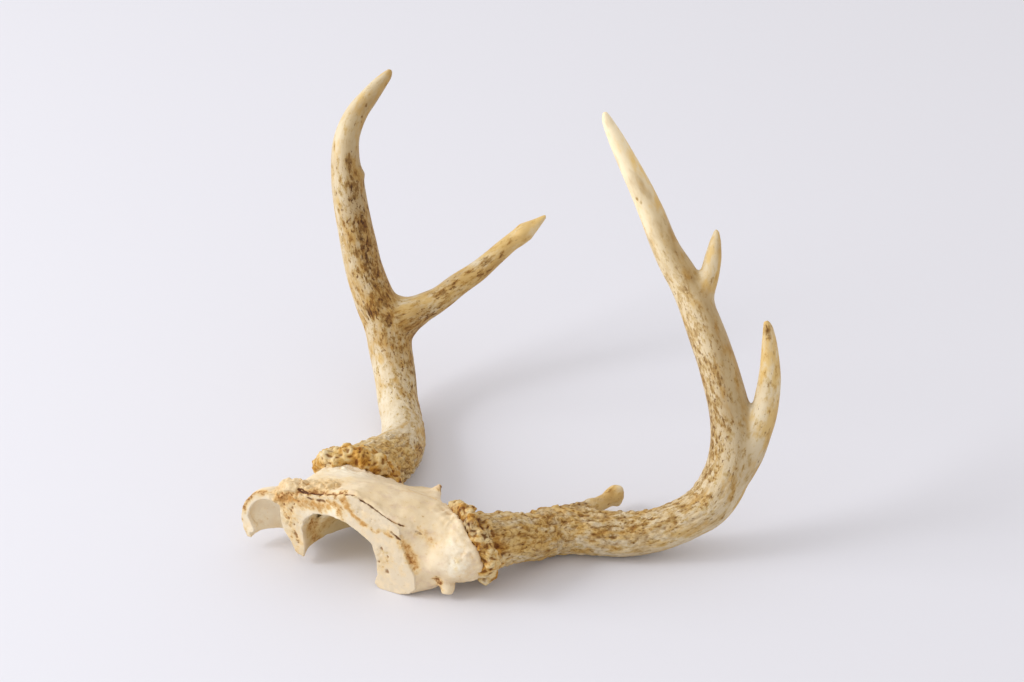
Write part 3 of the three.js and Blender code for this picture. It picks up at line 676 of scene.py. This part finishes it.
def antler(spec, shape):
    """One antler: tubes and burr fused, forks webbed, then pearls, gutters and soil."""
    limbs = [Limb(points, finish) for points, finish in spec["limbs"]]
    made = fuse([tube(limb) for limb in limbs] + burr(spec["burr"]), spec["name"], spec["voxel"])
    skin = Skin(made)
    near_fork = web_forks(skin, limbs, spec["webs"])
    skin.relax(3, 0.5)
    skin.relax(22, 0.5 * near_fork)

    places = skin.places
    beam_grain, tine_grain, on_tine, out, values = lay_out(limbs, places)
    burr_share = close_to_burr(places, spec["burr"])
    pearls = np.maximum(values["pearls"] * np.clip(values["side"], 0, 1.25), burr_share)
    height, fine = antler_relief(
        places, (beam_grain, tine_grain), on_tine, values["gutters"], pearls, burr_share, shape)
    for x, y, z, reach, high in spec["lumps"]:
        height += high * near(places, (x, y, z), reach)
    skin.lift(height)
    skin.relax(1, 0.25)
    skin.rest_on_table()

    hollow = skin.blur(height, 14) - skin.blur(height, 1)
    # painted shade: each limb's side facing +x, away from the lamps on the left, is darkened by the
    # limb's share of shade
    weathered = ease(out[:, 0], -0.6, 0.35) * values["shade"] * (1 - burr_share)
    # the gold share also carries painted shade: a warm golden tint on the side facing +x, away from the
    # lamps
    skin.keep(beam_grain=beam_grain, tine_grain=tine_grain, on_tine=on_tine, pearls=pearls,
              hollow=0.5 + hollow / 1.1, raised=fine, soil=values["soil"] * values["side"],
              burr=burr_share, patch=rubbed_in(places, limbs, spec["patches"]), ivory=values["ivory"],
              chalk=values["chalk"], gold=values["gold"] + 0.45 * ease(out[:, 0], 0.1, 0.9),
              weathered=weathered)
    skin.put_back()
    thin(made)
    return made


# ---- skull bone ----
def saw_place(places):
    """Along, back and up from the sawn face."""
    offset = places - SAW_FOOT
    return np.stack([offset @ SAW_ALONG, offset @ SAW_BACK, places[:, 2]], axis=1)


def from_saw(place):
    """The place in the rack's frame of a point given along, back and up from the sawn face."""
    return SAW_FOOT + SAW_ALONG * place[0] + SAW_BACK * place[1] + np.array((0.0, 0.0, place[2]))


def line_distance(places, line):
    """Distance to a broken line, and how far along it the nearest point is."""
    best = np.full(len(places), FAR)
    travelled = np.zeros(len(places))
    passed = 0.0
    for a, b in zip(np.array(line[:-1], float), np.array(line[1:], float)):
        span = b - a
        length = np.linalg.norm(span)
        t = np.clip(((places - a) @ span) / length ** 2, 0, 1)
        away = np.linalg.norm(places - a - t[:, None] * span, axis=1)
        closer = away < best
        best = np.where(closer, away, best)
        travelled = np.where(closer, passed + t * length, travelled)
        passed += length
    return best, travelled


def skull_mesh():
    """The plate's own solid with its struts and lumps, fused to one fine skin."""
    deselect()
    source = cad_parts["skull_plate"]
    made = bpy.data.objects.new("skull_bone", source.data.copy())
    bpy.context.scene.collection.objects.link(made)
    made.select_set(True)
    bpy.context.view_layer.objects.active = made
    for slot in list(made.data.attributes):
        if slot.domain == "CORNER" and not slot.is_required:
            made.data.attributes.remove(slot)
    bpy.ops.object.mode_set(mode="EDIT")
    bpy.ops.mesh.select_all(action="SELECT")
    bpy.ops.mesh.remove_doubles(threshold=1e-6)
    bpy.ops.object.mode_set(mode="OBJECT")
    pieces = [made]
    for strut in (PRONG, RIM):
        pieces.append(tube(Limb([(*from_saw(point[:3]), point[3]) for point in strut])))
    for along, back, up, radius in CRUMBS:
        pieces.append(knob(from_saw((along, back, up)), radius))
    return fuse(pieces, "skull_bone", SKULL_VOXEL)


def under_vault(saw, up, along, back):
    """How far a point is in the hollow of the skull, fading over the three given ranges."""
    middle = np.abs(saw[:, 0] - VAULT_MIDDLE)
    return ease(-saw[:, 2], *up) * ease(-middle, *along) * ease(saw[:, 1], *back)


def soften(skin):
    """Rounds the bone, fills it out below the burrs and keeps the sawn face flat. Gives how close
    below a burr each point is."""
    saw = saw_place(skin.places)
    cut = saw[:, 1] < 0.35
    keep_cut = np.where(cut, 0.0, 1.0)
    for _ in range(26):
        skin.relax(1, 0.55)
        skin.relax(1, -0.5)
    skin.relax(5, 0.5 * keep_cut + 0.2)
    neck = np.zeros(len(saw))
    for collar in (LEFT_BURR, RIGHT_BURR):
        offset = skin.places - collar["at"]
        rise = offset @ unit(collar["axis"])
        closeness = -np.linalg.norm(offset, axis=1)
        neck = np.maximum(neck, ease(rise, -16, -3) * ease(closeness, -32, -24))
        foot = ease(-rise, 4, 12) * ease(rise, -50, -34) * ease(closeness, -52, -40)
        skin.fill(240, foot * ease(saw[:, 1], 1, 6) * ease(saw[:, 2], 10, 22))
    skin.relax(120, 0.5 * under_vault(saw, (-38, -30), (-30, -24), (0.6, 3)))
    drift = saw_place(skin.places)[:, 1]
    skin.places -= np.where(cut, drift, 0)[:, None] * SAW_BACK
    return neck


def bone_relief(places, saw, neck, shape):
    """How high each point of the bone stands, and the shares of what is cracked, open or broken."""
    away = []
    crack = np.zeros(len(saw))
    height = np.zeros(len(saw))
    for number, spec in enumerate(CRACKS):
        distance, travelled = line_distance(saw, spec["line"])
        wander = 0.8 * noise(saw / 3.4, 50 + number) + 0.5 * noise(saw / 1.5, 55 + number)
        distance = np.abs(distance + wander)
        opened = 0.8 + 0.3 * noise(np.outer(travelled / 5, (1, 0, 0)), 60 + number)
        line = np.exp(-(distance / spec["width"]) ** 2) * opened
        crack = np.maximum(crack, line)
        height -= spec["depth"] * line
        away.append(distance)
    # the outer layer of bone stands proud behind the long crack, as a thin ragged ledge
    ledge = np.exp(-((away[0] - 2.6) / 1.5) ** 2) * (saw[:, 2] > 38) * (saw[:, 1] > 0.8)
    height += shape.ledge * ledge * (0.7 + 0.5 * noise(saw / 5, 66))

    ridge_distance, _ = line_distance(saw, ROUGH_RIDGE)
    ridge = ease(-ridge_distance, -9, -4)
    spongy = np.clip(np.maximum(near_any(saw, SPONGY), 0.8 * ridge), 0, 1)
    hole, hole_size = cells(places / 2.3, 77)
    holes = np.clip(1 - hole / 0.36, 0, 1) * (hole_size > 0.35)
    height -= 0.8 * spongy * holes
    height += spongy * 0.4 * layered(places / 3.2, 2, 81)
    crumb, crumb_size = cells(places / 2.6, 87)
    height += ridge * (0.9 * noise(places / 3.4, 83) + 0.7 * noise(places / 1.6, 84))
    height += ridge * 1.5 * np.clip(1 - (crumb / 0.6) ** 2, 0, 1) * crumb_size
    for along, back, up, reach, depth in DENTS:
        height -= depth * near(saw, (along, back, up), reach)
    # bone is wrinkled just below the burrs
    wrinkle = 1 - 2.2 * np.abs(layered(places / 5.5, 2, 101))
    height += neck * (0.9 * wrinkle + 0.4 * noise(places / 2.4, 103))
    pit = near_any(saw + 0.6 * shake(saw / 1.6, 98), PITS)
    height -= 0.6 * pit
    on_cut = ease(-saw[:, 1], -0.9, -0.1)
    waves = 1.1 * layered(places / 15.0, 3, 86) + 0.35 * noise(places / 4.5, 85)
    height += waves * (1 - on_cut)
    height += 0.14 * noise(places / 1.7, 88) * (0.5 + 0.5 * spongy)
    shares = {"crack": crack, "spongy": spongy, "hole": spongy * holes + pit, "ridge": ridge,
              "cut": on_cut}
    return height, shares


def bone_stains(saw):
    """The shares of rust, soot and pale chalky bone, partly painted light, with ragged edges."""
    warped = saw + 1.6 * shake(saw / 5, 90) + shake(saw / 2, 94)
    rust, soot = np.zeros(len(saw)), np.zeros(len(saw))
    for line, width, rusty, dark in BONE_STAINS:
        stain = np.exp(-(line_distance(warped, line)[0] / width) ** 2)
        rust, soot = np.maximum(rust, rusty * stain), np.maximum(soot, dark * stain)
    return {"rust": rust, "soot": soot, "pale_and_painted_light": near_any(warped, PALE_AND_LIT_BONE)}


def skull_bone(shape):
    """The sawn plate of skull bone, softened and worked over as weathered bone."""
    made = skull_mesh()
    skin = Skin(made)
    neck = soften(skin)
    saw = saw_place(skin.places)
    height, shares = bone_relief(skin.places, saw, neck, shape)
    skin.lift(height)
    # the peg ends a little above the table
    by_peg = np.exp(-(((saw[:, 0] - 28) / 6) ** 4 + ((saw[:, 1] - 9.5) / 7) ** 4))
    skin.places[:, 2] += 2.2 * by_peg * ease(-saw[:, 2], -9, -2)
    skin.rest_on_table()

    hollow = skin.blur(height, 12) - skin.blur(height, 1)
    # the share under the vault is painted shade, darkening the bone deep in the hollow of the skull
    skin.keep(**shares, **bone_stains(saw), neck=neck, hollow=0.5 + hollow / 1.2,
              inside=under_vault(saw, (-37, -24), (-27, -20), (0.5, 6)))
    skin.put_back()
    thin(made)
    return made


# ---- finishes ----
class Value:
    """What one step of a finish gives, to be reckoned with further."""

    def __init__(self, finish, socket):
        self.finish, self.socket = finish, socket

    def __add__(self, other):
        return self.finish.reckon("ADD", self, other)

    def __sub__(self, other):
        return self.finish.reckon("SUBTRACT", self, other)

    def __rsub__(self, other):
        return self.finish.reckon("SUBTRACT", other, self)

    def __mul__(self, other):
        return self.finish.reckon("MULTIPLY", self, other)

    def ramp(self, low, high):
        """0 at low, 1 at high, and a smooth turn between."""
        sockets = {"Value": self, "From Min": low, "From Max": high}
        return self.finish.step("ShaderNodeMapRange", sockets, interpolation_type="SMOOTHSTEP")


class Finish:
    """Builds a finish: each call adds one step, and the colour is laid on coat by coat."""

    def __init__(self, name):
        self.material = bpy.data.materials.new(name)
        self.material.use_nodes = True
        self.tree = self.material.node_tree
        self.shader = self.tree.nodes["Principled BSDF"]

    def step(self, kind, sockets, out=0, **choices):
        node = self.tree.nodes.new(kind)
        for key, value in choices.items():
            setattr(node, key, value)
        for key, value in sockets.items():
            if isinstance(value, Value):
                self.tree.links.new(value.socket, node.inputs[key])
            else:
                node.inputs[key].default_value = value
        return Value(self, node.outputs[out])

    def reckon(self, way, a, b):
        return self.step("ShaderNodeMath", {0: a, 1: b}, operation=way)

    def stored(self, *names):
        return [self.step("ShaderNodeAttribute", {}, "Fac", attribute_name=name) for name in names]

    def grain(self, name):
        return self.step("ShaderNodeAttribute", {}, "Vector", attribute_name=name)

    def place(self):
        """The place on the object, in millimetres."""
        here = self.step("ShaderNodeTexCoord", {}, "Object")
        return self.step("ShaderNodeVectorMath", {0: here, 1: (1000, 1000, 1000)}, operation="MULTIPLY")

    def stretched(self, where, size, shift):
        sockets = {0: where, 1: tuple(1 / s for s in size), 2: (shift, shift * 1.7, shift * 0.6)}
        return self.step("ShaderNodeVectorMath", sockets, operation="MULTIPLY_ADD")

    def noise(self, where, size, shift, detail, rough=0.55):
        return self.step("ShaderNodeTexNoise", {
            "Vector": self.stretched(where, size, shift), "Scale": 1.0, "Detail": detail,
            "Roughness": rough})

    def specks(self, where, size, shift):
        return self.step("ShaderNodeTexVoronoi", {
            "Vector": self.stretched(where, size, shift), "Scale": 1.0}, "Distance", feature="F1")

    def blend(self, share, a, b):
        """Turns from number a to number b."""
        return self.step("ShaderNodeMix", {0: share, 2: a, 3: b}, 0, data_type="FLOAT")

    def tint(self, share, a, b, way="MIX"):
        """Turns from colour a to colour b."""
        a, b = (c if isinstance(c, Value) else (*c, 1.0) for c in (a, b))
        return self.step("ShaderNodeMix", {0: share, 6: a, 7: b}, 2, data_type="RGBA", blend_type=way)

    def cover(self, share, colour):
        """Lays a colour over the coats below it."""
        self.colour = self.tint(share, self.colour, colour)

    def stain(self, share, colour):
        """Darkens the coats below with a tint."""
        self.colour = self.tint(share, self.colour, colour, "MULTIPLY")

    def bump(self, height, distance, strength, under=None):
        sockets = {"Height": height, "Distance": distance * MM, "Strength": strength}
        if under is not None:
            sockets["Normal"] = under
        return self.step("ShaderNodeBump", sockets)

    def surface(self, roughness, normal, specular):
        sockets = self.shader.inputs
        for key, value in (("Base Color", self.colour), ("Roughness", roughness), ("Normal", normal)):
            self.tree.links.new(value.socket, sockets[key])
        sockets["Specular IOR Level"].default_value = specular
        return self.material


def antler_finish(colours):
    """Ivory tips, chalky beams with lengthwise soil, and pearled bases dark in their crevices."""
    f = Finish("antler")
    grains = f.grain("beam_grain"), f.grain("tine_grain")
    on_tine, soil, patch, ivory, chalk, pearls, hollow, raised, gold, burr_share, weathered = f.stored(
        "on_tine", "soil", "patch", "ivory", "chalk", "pearls", "hollow", "raised", "gold", "burr",
        "weathered")
    here = f.place()

    def along(kind, *choices):
        """A pattern on the beam's grain, turning to the same on the tine's."""
        return f.blend(on_tine, *(kind(grain, *choices) for grain in grains))

    broad = along(f.noise, (9, 9, 22), 3, 3)
    golden = along(f.noise, (5, 5, 12), 23, 3)
    blotch = along(f.noise, (3.2, 3.2, 6.5), 11, 6, 0.68)
    mark = along(f.noise, (1.3, 1.3, 2.8), 31, 4, 0.62)
    streak = along(f.noise, (0.8, 0.8, 9), 7, 3, 0.6)
    tops = along(f.noise, (1.7, 1.7, 2.7), 41, 3, 0.6)
    beads = along(f.specks, (2.1, 2.1, 3.2), 5)
    grit = f.noise(here, (0.9, 0.9, 0.9), 2, 2)
    cloud = f.noise(here, (8, 8, 8), 19, 4, 0.6)
    smudge = f.noise(here, (5, 5, 5), 27, 5, 0.65)

    f.colour = f.tint(broad.ramp(0.35, 0.7), colours.cream, colours.tan)
    f.cover(chalk * golden.ramp(0.75, 0.35), colours.chalk)
    f.cover(ivory, f.tint(broad.ramp(0.5, 0.75), colours.ivory, colours.amber))
    # pearled ground: cloudy cream and gold
    f.cover(pearls * 0.9, f.tint(cloud.ramp(0.4, 0.62), colours.chalk, colours.bead))
    # gold tint for the antler's own yellowing, which also lays painted shade on the side turned away
    # from the lamps
    f.stain((golden + gold * 0.26).ramp(0.52, 0.78) * 0.9, colours.gold)
    # soil, from a smooth wash over a wide golden halo to dark flecks, all along the grain
    bare = 1.0 - ivory * 0.85
    washed = f.reckon("MAXIMUM", soil, patch) + (broad - 0.5) * 1.2
    f.stain(washed.ramp(0.1, 0.9) * bare * 0.6, colours.wash)
    # painted shade on the side of the limbs turned away from the lamps
    f.stain(weathered, colours.shade)
    reach = soil * 0.15 + patch * 0.12
    f.stain((blotch + reach).ramp(0.55, 0.68) * bare * 0.85, colours.olive)
    f.stain((f.blend(0.5, blotch, mark) + reach).ramp(0.60, 0.69) * bare * 0.95, colours.brown)
    f.stain((streak + reach * 0.8).ramp(0.66, 0.78) * bare * 0.5, colours.brown)
    f.stain((mark + reach * 0.8).ramp(0.67, 0.75) * bare * 0.75, colours.dark)
    smoky = (mark + blotch - 1.0) * 0.6 * patch.ramp(0.05, 0.3)
    f.stain((patch * 0.9 + smoky).ramp(0.15, 0.95) * 0.9, colours.smoke)
    # between, on and under the pearls
    f.stain((beads + (cloud - 0.5) * 0.8).ramp(0.55, 0.8) * pearls * 0.3, colours.brown)
    f.stain((tops + (cloud - 0.5) * 0.5).ramp(0.52, 0.64) * pearls * 0.7, colours.brown)
    f.stain(burr_share * cloud.ramp(0.3, 0.6), colours.gold)
    f.cover(raised.ramp(0.15, 0.6) * cloud.ramp(0.58, 0.42) * burr_share * 0.6, colours.fold)
    f.stain(smudge.ramp(0.48, 0.66) * pearls * 0.35, colours.brown)
    f.stain(hollow.ramp(0.54, 0.8) * f.blend(burr_share, 0.6, 0.95), colours.crevice)

    roughness = f.blend(pearls, f.blend(ivory, 0.56, 0.33), 0.78)
    skin = f.bump(streak, 0.25, 0.3)
    skin = f.bump((1.0 - beads) * pearls, 0.6, 0.6, skin)
    skin = f.bump(grit * (pearls + 0.1), 0.4, 0.5, skin)
    return f.surface(roughness, skin, 0.3)


def bone_finish(colours):
    """Pale dry bone, yellowed in patches, brown along its cracks and open where it is spongy."""
    f = Finish("skull_bone")
    here = f.place()
    crack, spongy, hole, ridge, rust, soot, pale_and_painted_light, cut, inside, hollow, neck = f.stored(
        "crack", "spongy", "hole", "ridge", "rust", "soot", "pale_and_painted_light", "cut", "inside", "hollow", "neck")
    broad = f.noise(here, (16, 16, 16), 4, 3)
    mottled = f.noise(here, (5, 5, 5), 9, 4, 0.6)
    grain = f.noise(here, (2.2, 2.2, 2.2), 12, 4, 0.65)
    grit = f.noise(here, (1.1, 1.1, 1.1), 2, 3)
    pores = f.specks(here, (1.5, 1.5, 1.5), 6)

    f.colour = f.tint(broad.ramp(0.38, 0.66), colours.bone, colours.bone_yellow)
    f.cover(mottled.ramp(0.48, 0.72) * 0.7, colours.bone_pink)
    f.cover(cut * mottled.ramp(0.3, 0.6), colours.bone_pale)
    # painted shade: darker, yellower bone deep in the hollow of the skull
    f.cover(inside * 0.8, colours.bone_inside)
    # pale chalky bone, with painted light in the eye socket and on top of the skull
    f.cover(pale_and_painted_light * mottled.ramp(0.2, 0.5), colours.bone_white_and_light)
    f.cover(ridge * mottled.ramp(0.15, 0.5), colours.crumb)
    f.cover(neck * grain.ramp(0.4, 0.6) * 0.5, colours.bone_yellow)
    uneven = (grain - 0.5) * 1.6
    f.stain((rust + uneven * 0.5).ramp(0.0, 0.5) * 0.6, colours.gold)
    f.stain((rust + uneven).ramp(0.3, 0.9) * 0.95, colours.rust)
    f.stain((soot + uneven).ramp(0.25, 0.6) * 0.9, colours.crevice)
    f.stain(mottled.ramp(0.5, 0.7) * spongy * 0.7, colours.olive)
    f.stain(crack.ramp(0.25, 0.7), colours.dark)
    f.stain(hole.ramp(0.25, 0.8) * 0.85, colours.crevice)
    f.stain(hollow.ramp(0.55, 0.85) * 0.7, colours.rust)
    f.stain(pores.ramp(0.16, 0.05) * 0.4, colours.rust)
    f.stain(grain.ramp(0.58, 0.72) * 0.3, colours.olive)

    skin = f.bump(grit, 0.3, 0.3, f.bump(mottled, 0.5, 0.25))
    return f.surface(f.blend(mottled.ramp(0.3, 0.7), 0.62, 0.74), skin, 0.35)


# ---- stage ----
FLOOR_SIZE = 8.0
WINDOW_PLACE = (-1.7, -0.35, 1.5)
SOFTBOX_PLACE = (-2.5, -0.35, 1.1)
LAMP_TARGET = (0.0, 0.0, 0.1)
CAMERA_TARGET = (0.00182, -0.07942, 0.127)
CAMERA_ELEVATION = math.radians(30)
CAMERA_DISTANCE = 1.347
CAMERA_LENS = 90


def aimed(place, target):
    return (Vector(target) - Vector(place)).to_track_quat("-Z", "Y").to_euler()


def stage(settings):
    """Table, soft light all round, a softbox and a smaller lamp on the left, and the camera."""
    deselect()
    bpy.ops.mesh.primitive_plane_add(size=FLOOR_SIZE, location=(0, 0, 0))
    floor = bpy.context.object
    floor.name = "table"
    f = Finish("table_paper")
    f.shader.inputs["Base Color"].default_value = (*settings.table_colour, 1.0)
    f.shader.inputs["Roughness"].default_value = 0.9
    f.shader.inputs["Specular IOR Level"].default_value = 0.1
    floor.data.materials.append(f.material)

    scene = bpy.context.scene
    world = bpy.data.worlds.new("soft_room")
    scene.world = world
    world.use_nodes = True
    room = world.node_tree.nodes["Background"]
    room.inputs["Color"].default_value = (*settings.room_colour, 1.0)
    room.inputs["Strength"].default_value = settings.room_strength

    for name, place, size, power in (
            ("window", WINDOW_PLACE, settings.lamp_size, settings.lamp_power),
            ("softbox", SOFTBOX_PLACE, settings.softbox_size, settings.softbox_power)):
        bpy.ops.object.light_add(type="AREA", location=place, rotation=aimed(place, LAMP_TARGET))
        lamp = bpy.context.object
        lamp.name = name
        lamp.data.shape = "DISK"
        lamp.data.size = size
        lamp.data.energy = power
        lamp.data.color = settings.lamp_colour

    target = Vector(CAMERA_TARGET)
    back = Vector((0, -math.cos(CAMERA_ELEVATION), math.sin(CAMERA_ELEVATION)))
    place = target + back * CAMERA_DISTANCE
    bpy.ops.object.camera_add(location=place, rotation=aimed(place, target))
    camera = bpy.context.object
    camera.data.lens = CAMERA_LENS
    camera.data.sensor_width = 36
    camera.data.clip_end = 50
    scene.camera = camera
    scene.view_settings.view_transform = "Standard"


# ---- settings ----
def colour_setting(name, description, default):
    return bpy.props.FloatVectorProperty(
        name=name, description=description, default=default, subtype="COLOR", size=3, min=0, max=1)


def number_setting(name, description, default, unit="NONE"):
    return bpy.props.FloatProperty(
        name=name, description=description, default=default, min=0, unit=unit)


class RackColours(bpy.types.PropertyGroup):
    ivory: colour_setting("Ivory", "Polished tips", (0.93, 0.795, 0.54))
    amber: colour_setting("Amber", "Yellowed ivory and rough bone", (0.66, 0.50, 0.27))
    cream: colour_setting("Cream", "Ground colour of the beams", (0.64, 0.53, 0.35))
    tan: colour_setting("Tan", "Darker ground of the beams", (0.56, 0.43, 0.245))
    chalk: colour_setting("Chalk", "Bleached parts of the beams", (0.73, 0.64, 0.475))
    bead: colour_setting("Bead", "Tops of the pearling", (0.70, 0.555, 0.32))
    # the gold tint also paints warm shade on the side of the antlers turned from the lamps
    gold: colour_setting("Gold", "Tint of yellowed antler", (0.96, 0.79, 0.43))
    wash: colour_setting("Wash", "Tint of the smooth wash of soil", (0.80, 0.70, 0.52))
    # painted shade: this tint darkens the side of the beams turned away from the lamps
    shade: colour_setting("Shade", "Tint of the weathered side of the beams", (0.64, 0.555, 0.41))
    olive: colour_setting("Olive", "Tint of thin soil", (0.78, 0.66, 0.37))
    brown: colour_setting("Brown", "Tint of soil rubbed along the grain", (0.60, 0.47, 0.28))
    dark: colour_setting("Dark", "Tint of the deepest soil", (0.27, 0.17, 0.10))
    smoke: colour_setting("Smoke", "Tint of the soft dark patches", (0.49, 0.365, 0.14))
    fold: colour_setting("Fold", "Pale yellow folds of the burrs", (0.74, 0.59, 0.32))
    crevice: colour_setting("Crevice", "Tint between the beads of the pearling", (0.38, 0.24, 0.12))
    rust: colour_setting("Rust", "Tint of rust on the bone", (0.72, 0.50, 0.24))
    bone: colour_setting("Bone", "Skull bone", (0.80, 0.655, 0.44))
    bone_yellow: colour_setting("Bone yellow", "Yellowed skull bone", (0.74, 0.575, 0.345))
    bone_pink: colour_setting("Bone pink", "Warmer patches of skull bone", (0.67, 0.50, 0.345))
    bone_pale: colour_setting("Bone pale", "Bone on the sawn face", (0.70, 0.585, 0.415))
    # also paints light into the eye socket and on top of the skull
    bone_white_and_light: colour_setting("Bone white", "Chalky patches of skull bone", (0.95, 0.87, 0.69))
    crumb: colour_setting("Crumb", "Broken bone of the rough ridge", (0.68, 0.50, 0.27))
    # painted shade for the bone deep in the hollow of the skull
    bone_inside: colour_setting("Bone inside", "Hollow of the skull", (0.56, 0.43, 0.20))


class RackShape(bpy.types.PropertyGroup):
    pearl_height: number_setting("Pearl height", "How far the beads stand out, in mm", 1.5)
    gutter_depth: number_setting("Gutter depth", "Depth of the lengthwise gutters, in mm", 0.42)
    ledge: number_setting("Ledge", "How proud the bone stands behind the long crack, in mm", 0.8)


class RackStage(bpy.types.PropertyGroup):
    table_colour: colour_setting("Table", "Colour of the table", (0.736, 0.733, 0.772))
    room_colour: colour_setting("Room", "Colour of the light from all round", (1.0, 0.98, 0.98))
    lamp_colour: colour_setting("Lamp", "Colour of the lamps", (0.93, 0.95, 1.0))
    room_strength: number_setting("Room light", "Strength of the light from all round", 0.84)
    lamp_power: number_setting("Lamp power", "Power of the lamp that throws the shadow", 7.5, "POWER")
    lamp_size: number_setting("Lamp size", "Width of the lamp that throws the shadow", 0.6, "LENGTH")
    softbox_power: number_setting("Softbox power", "Power of the wide light on the left", 45.0, "POWER")
    softbox_size: number_setting("Softbox size", "Width of the wide light on the left", 2.0, "LENGTH")


def finish_antler(made, nodes):
    if "antler" not in bpy.data.materials:
        antler_finish(bpy.context.scene.rack_colours)
    made.data.materials.clear()
    made.data.materials.append(bpy.data.materials["antler"])
    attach(made, "root")
    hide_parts(*nodes)


class RACK_OT_left_antler(bpy.types.Operator):
    """Model the left antler with its one tine"""
    bl_idname = "rack.left_antler"
    bl_label = "Left Antler"

    def execute(self, context):
        made = antler(LEFT_ANTLER, context.scene.rack_shape)
        finish_antler(made, ["left_lower_beam", "left_upper_beam", "left_tine"])
        return {"FINISHED"}


class RACK_OT_right_antler(bpy.types.Operator):
    """Model the right antler with its brow tine and two upper tines"""
    bl_idname = "rack.right_antler"
    bl_label = "Right Antler"

    def execute(self, context):
        made = antler(RIGHT_ANTLER, context.scene.rack_shape)
        finish_antler(made, ["right_lower_beam", "right_brow_tine", "right_middle_beam",
                             "right_second_tine", "right_upper_beam", "right_third_tine"])
        return {"FINISHED"}


class RACK_OT_skull_bone(bpy.types.Operator):
    """Model the sawn plate of skull bone"""
    bl_idname = "rack.skull_bone"
    bl_label = "Skull Bone"

    def execute(self, context):
        made = skull_bone(context.scene.rack_shape)
        made.data.materials.clear()
        made.data.materials.append(bone_finish(context.scene.rack_colours))
        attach(made, "root")
        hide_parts("skull_plate")
        return {"FINISHED"}


class RACK_OT_stage(bpy.types.Operator):
    """Lay the table, hang the lamps and place the camera"""
    bl_idname = "rack.stage"
    bl_label = "Stage"

    def execute(self, context):
        stage(context.scene.rack_stage)
        return {"FINISHED"}


class RACK_PT_panel(bpy.types.Panel):
    """The antler rack's pieces and settings"""
    bl_label = "Antler Rack"
    bl_space_type = "VIEW_3D"
    bl_region_type = "UI"
    bl_category = "Antlers"

    def draw(self, context):
        layout = self.layout
        for operator in OPERATORS:
            layout.operator(operator.bl_idname)
        for group in (context.scene.rack_shape, context.scene.rack_colours, context.scene.rack_stage):
            box = layout.box()
            for name in group.__annotations__:
                box.prop(group, name)


OPERATORS = (RACK_OT_stage, RACK_OT_left_antler, RACK_OT_right_antler, RACK_OT_skull_bone)
CLASSES = (RackColours, RackShape, RackStage) + OPERATORS + (RACK_PT_panel,)


def register():
    for cls in CLASSES:
        bpy.utils.register_class(cls)
    bpy.types.Scene.rack_colours = bpy.props.PointerProperty(type=RackColours)
    bpy.types.Scene.rack_shape = bpy.props.PointerProperty(type=RackShape)
    bpy.types.Scene.rack_stage = bpy.props.PointerProperty(type=RackStage)


def unregister():
    for name in ("rack_stage", "rack_shape", "rack_colours"):
        delattr(bpy.types.Scene, name)
    for cls in reversed(CLASSES):
        bpy.utils.unregister_class(cls)


def main():
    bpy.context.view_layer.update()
    register()
    bpy.ops.rack.stage()
    bpy.ops.rack.left_antler()
    bpy.ops.rack.right_antler()
    bpy.ops.rack.skull_bone()


if __name__ == "__main__":
    main()
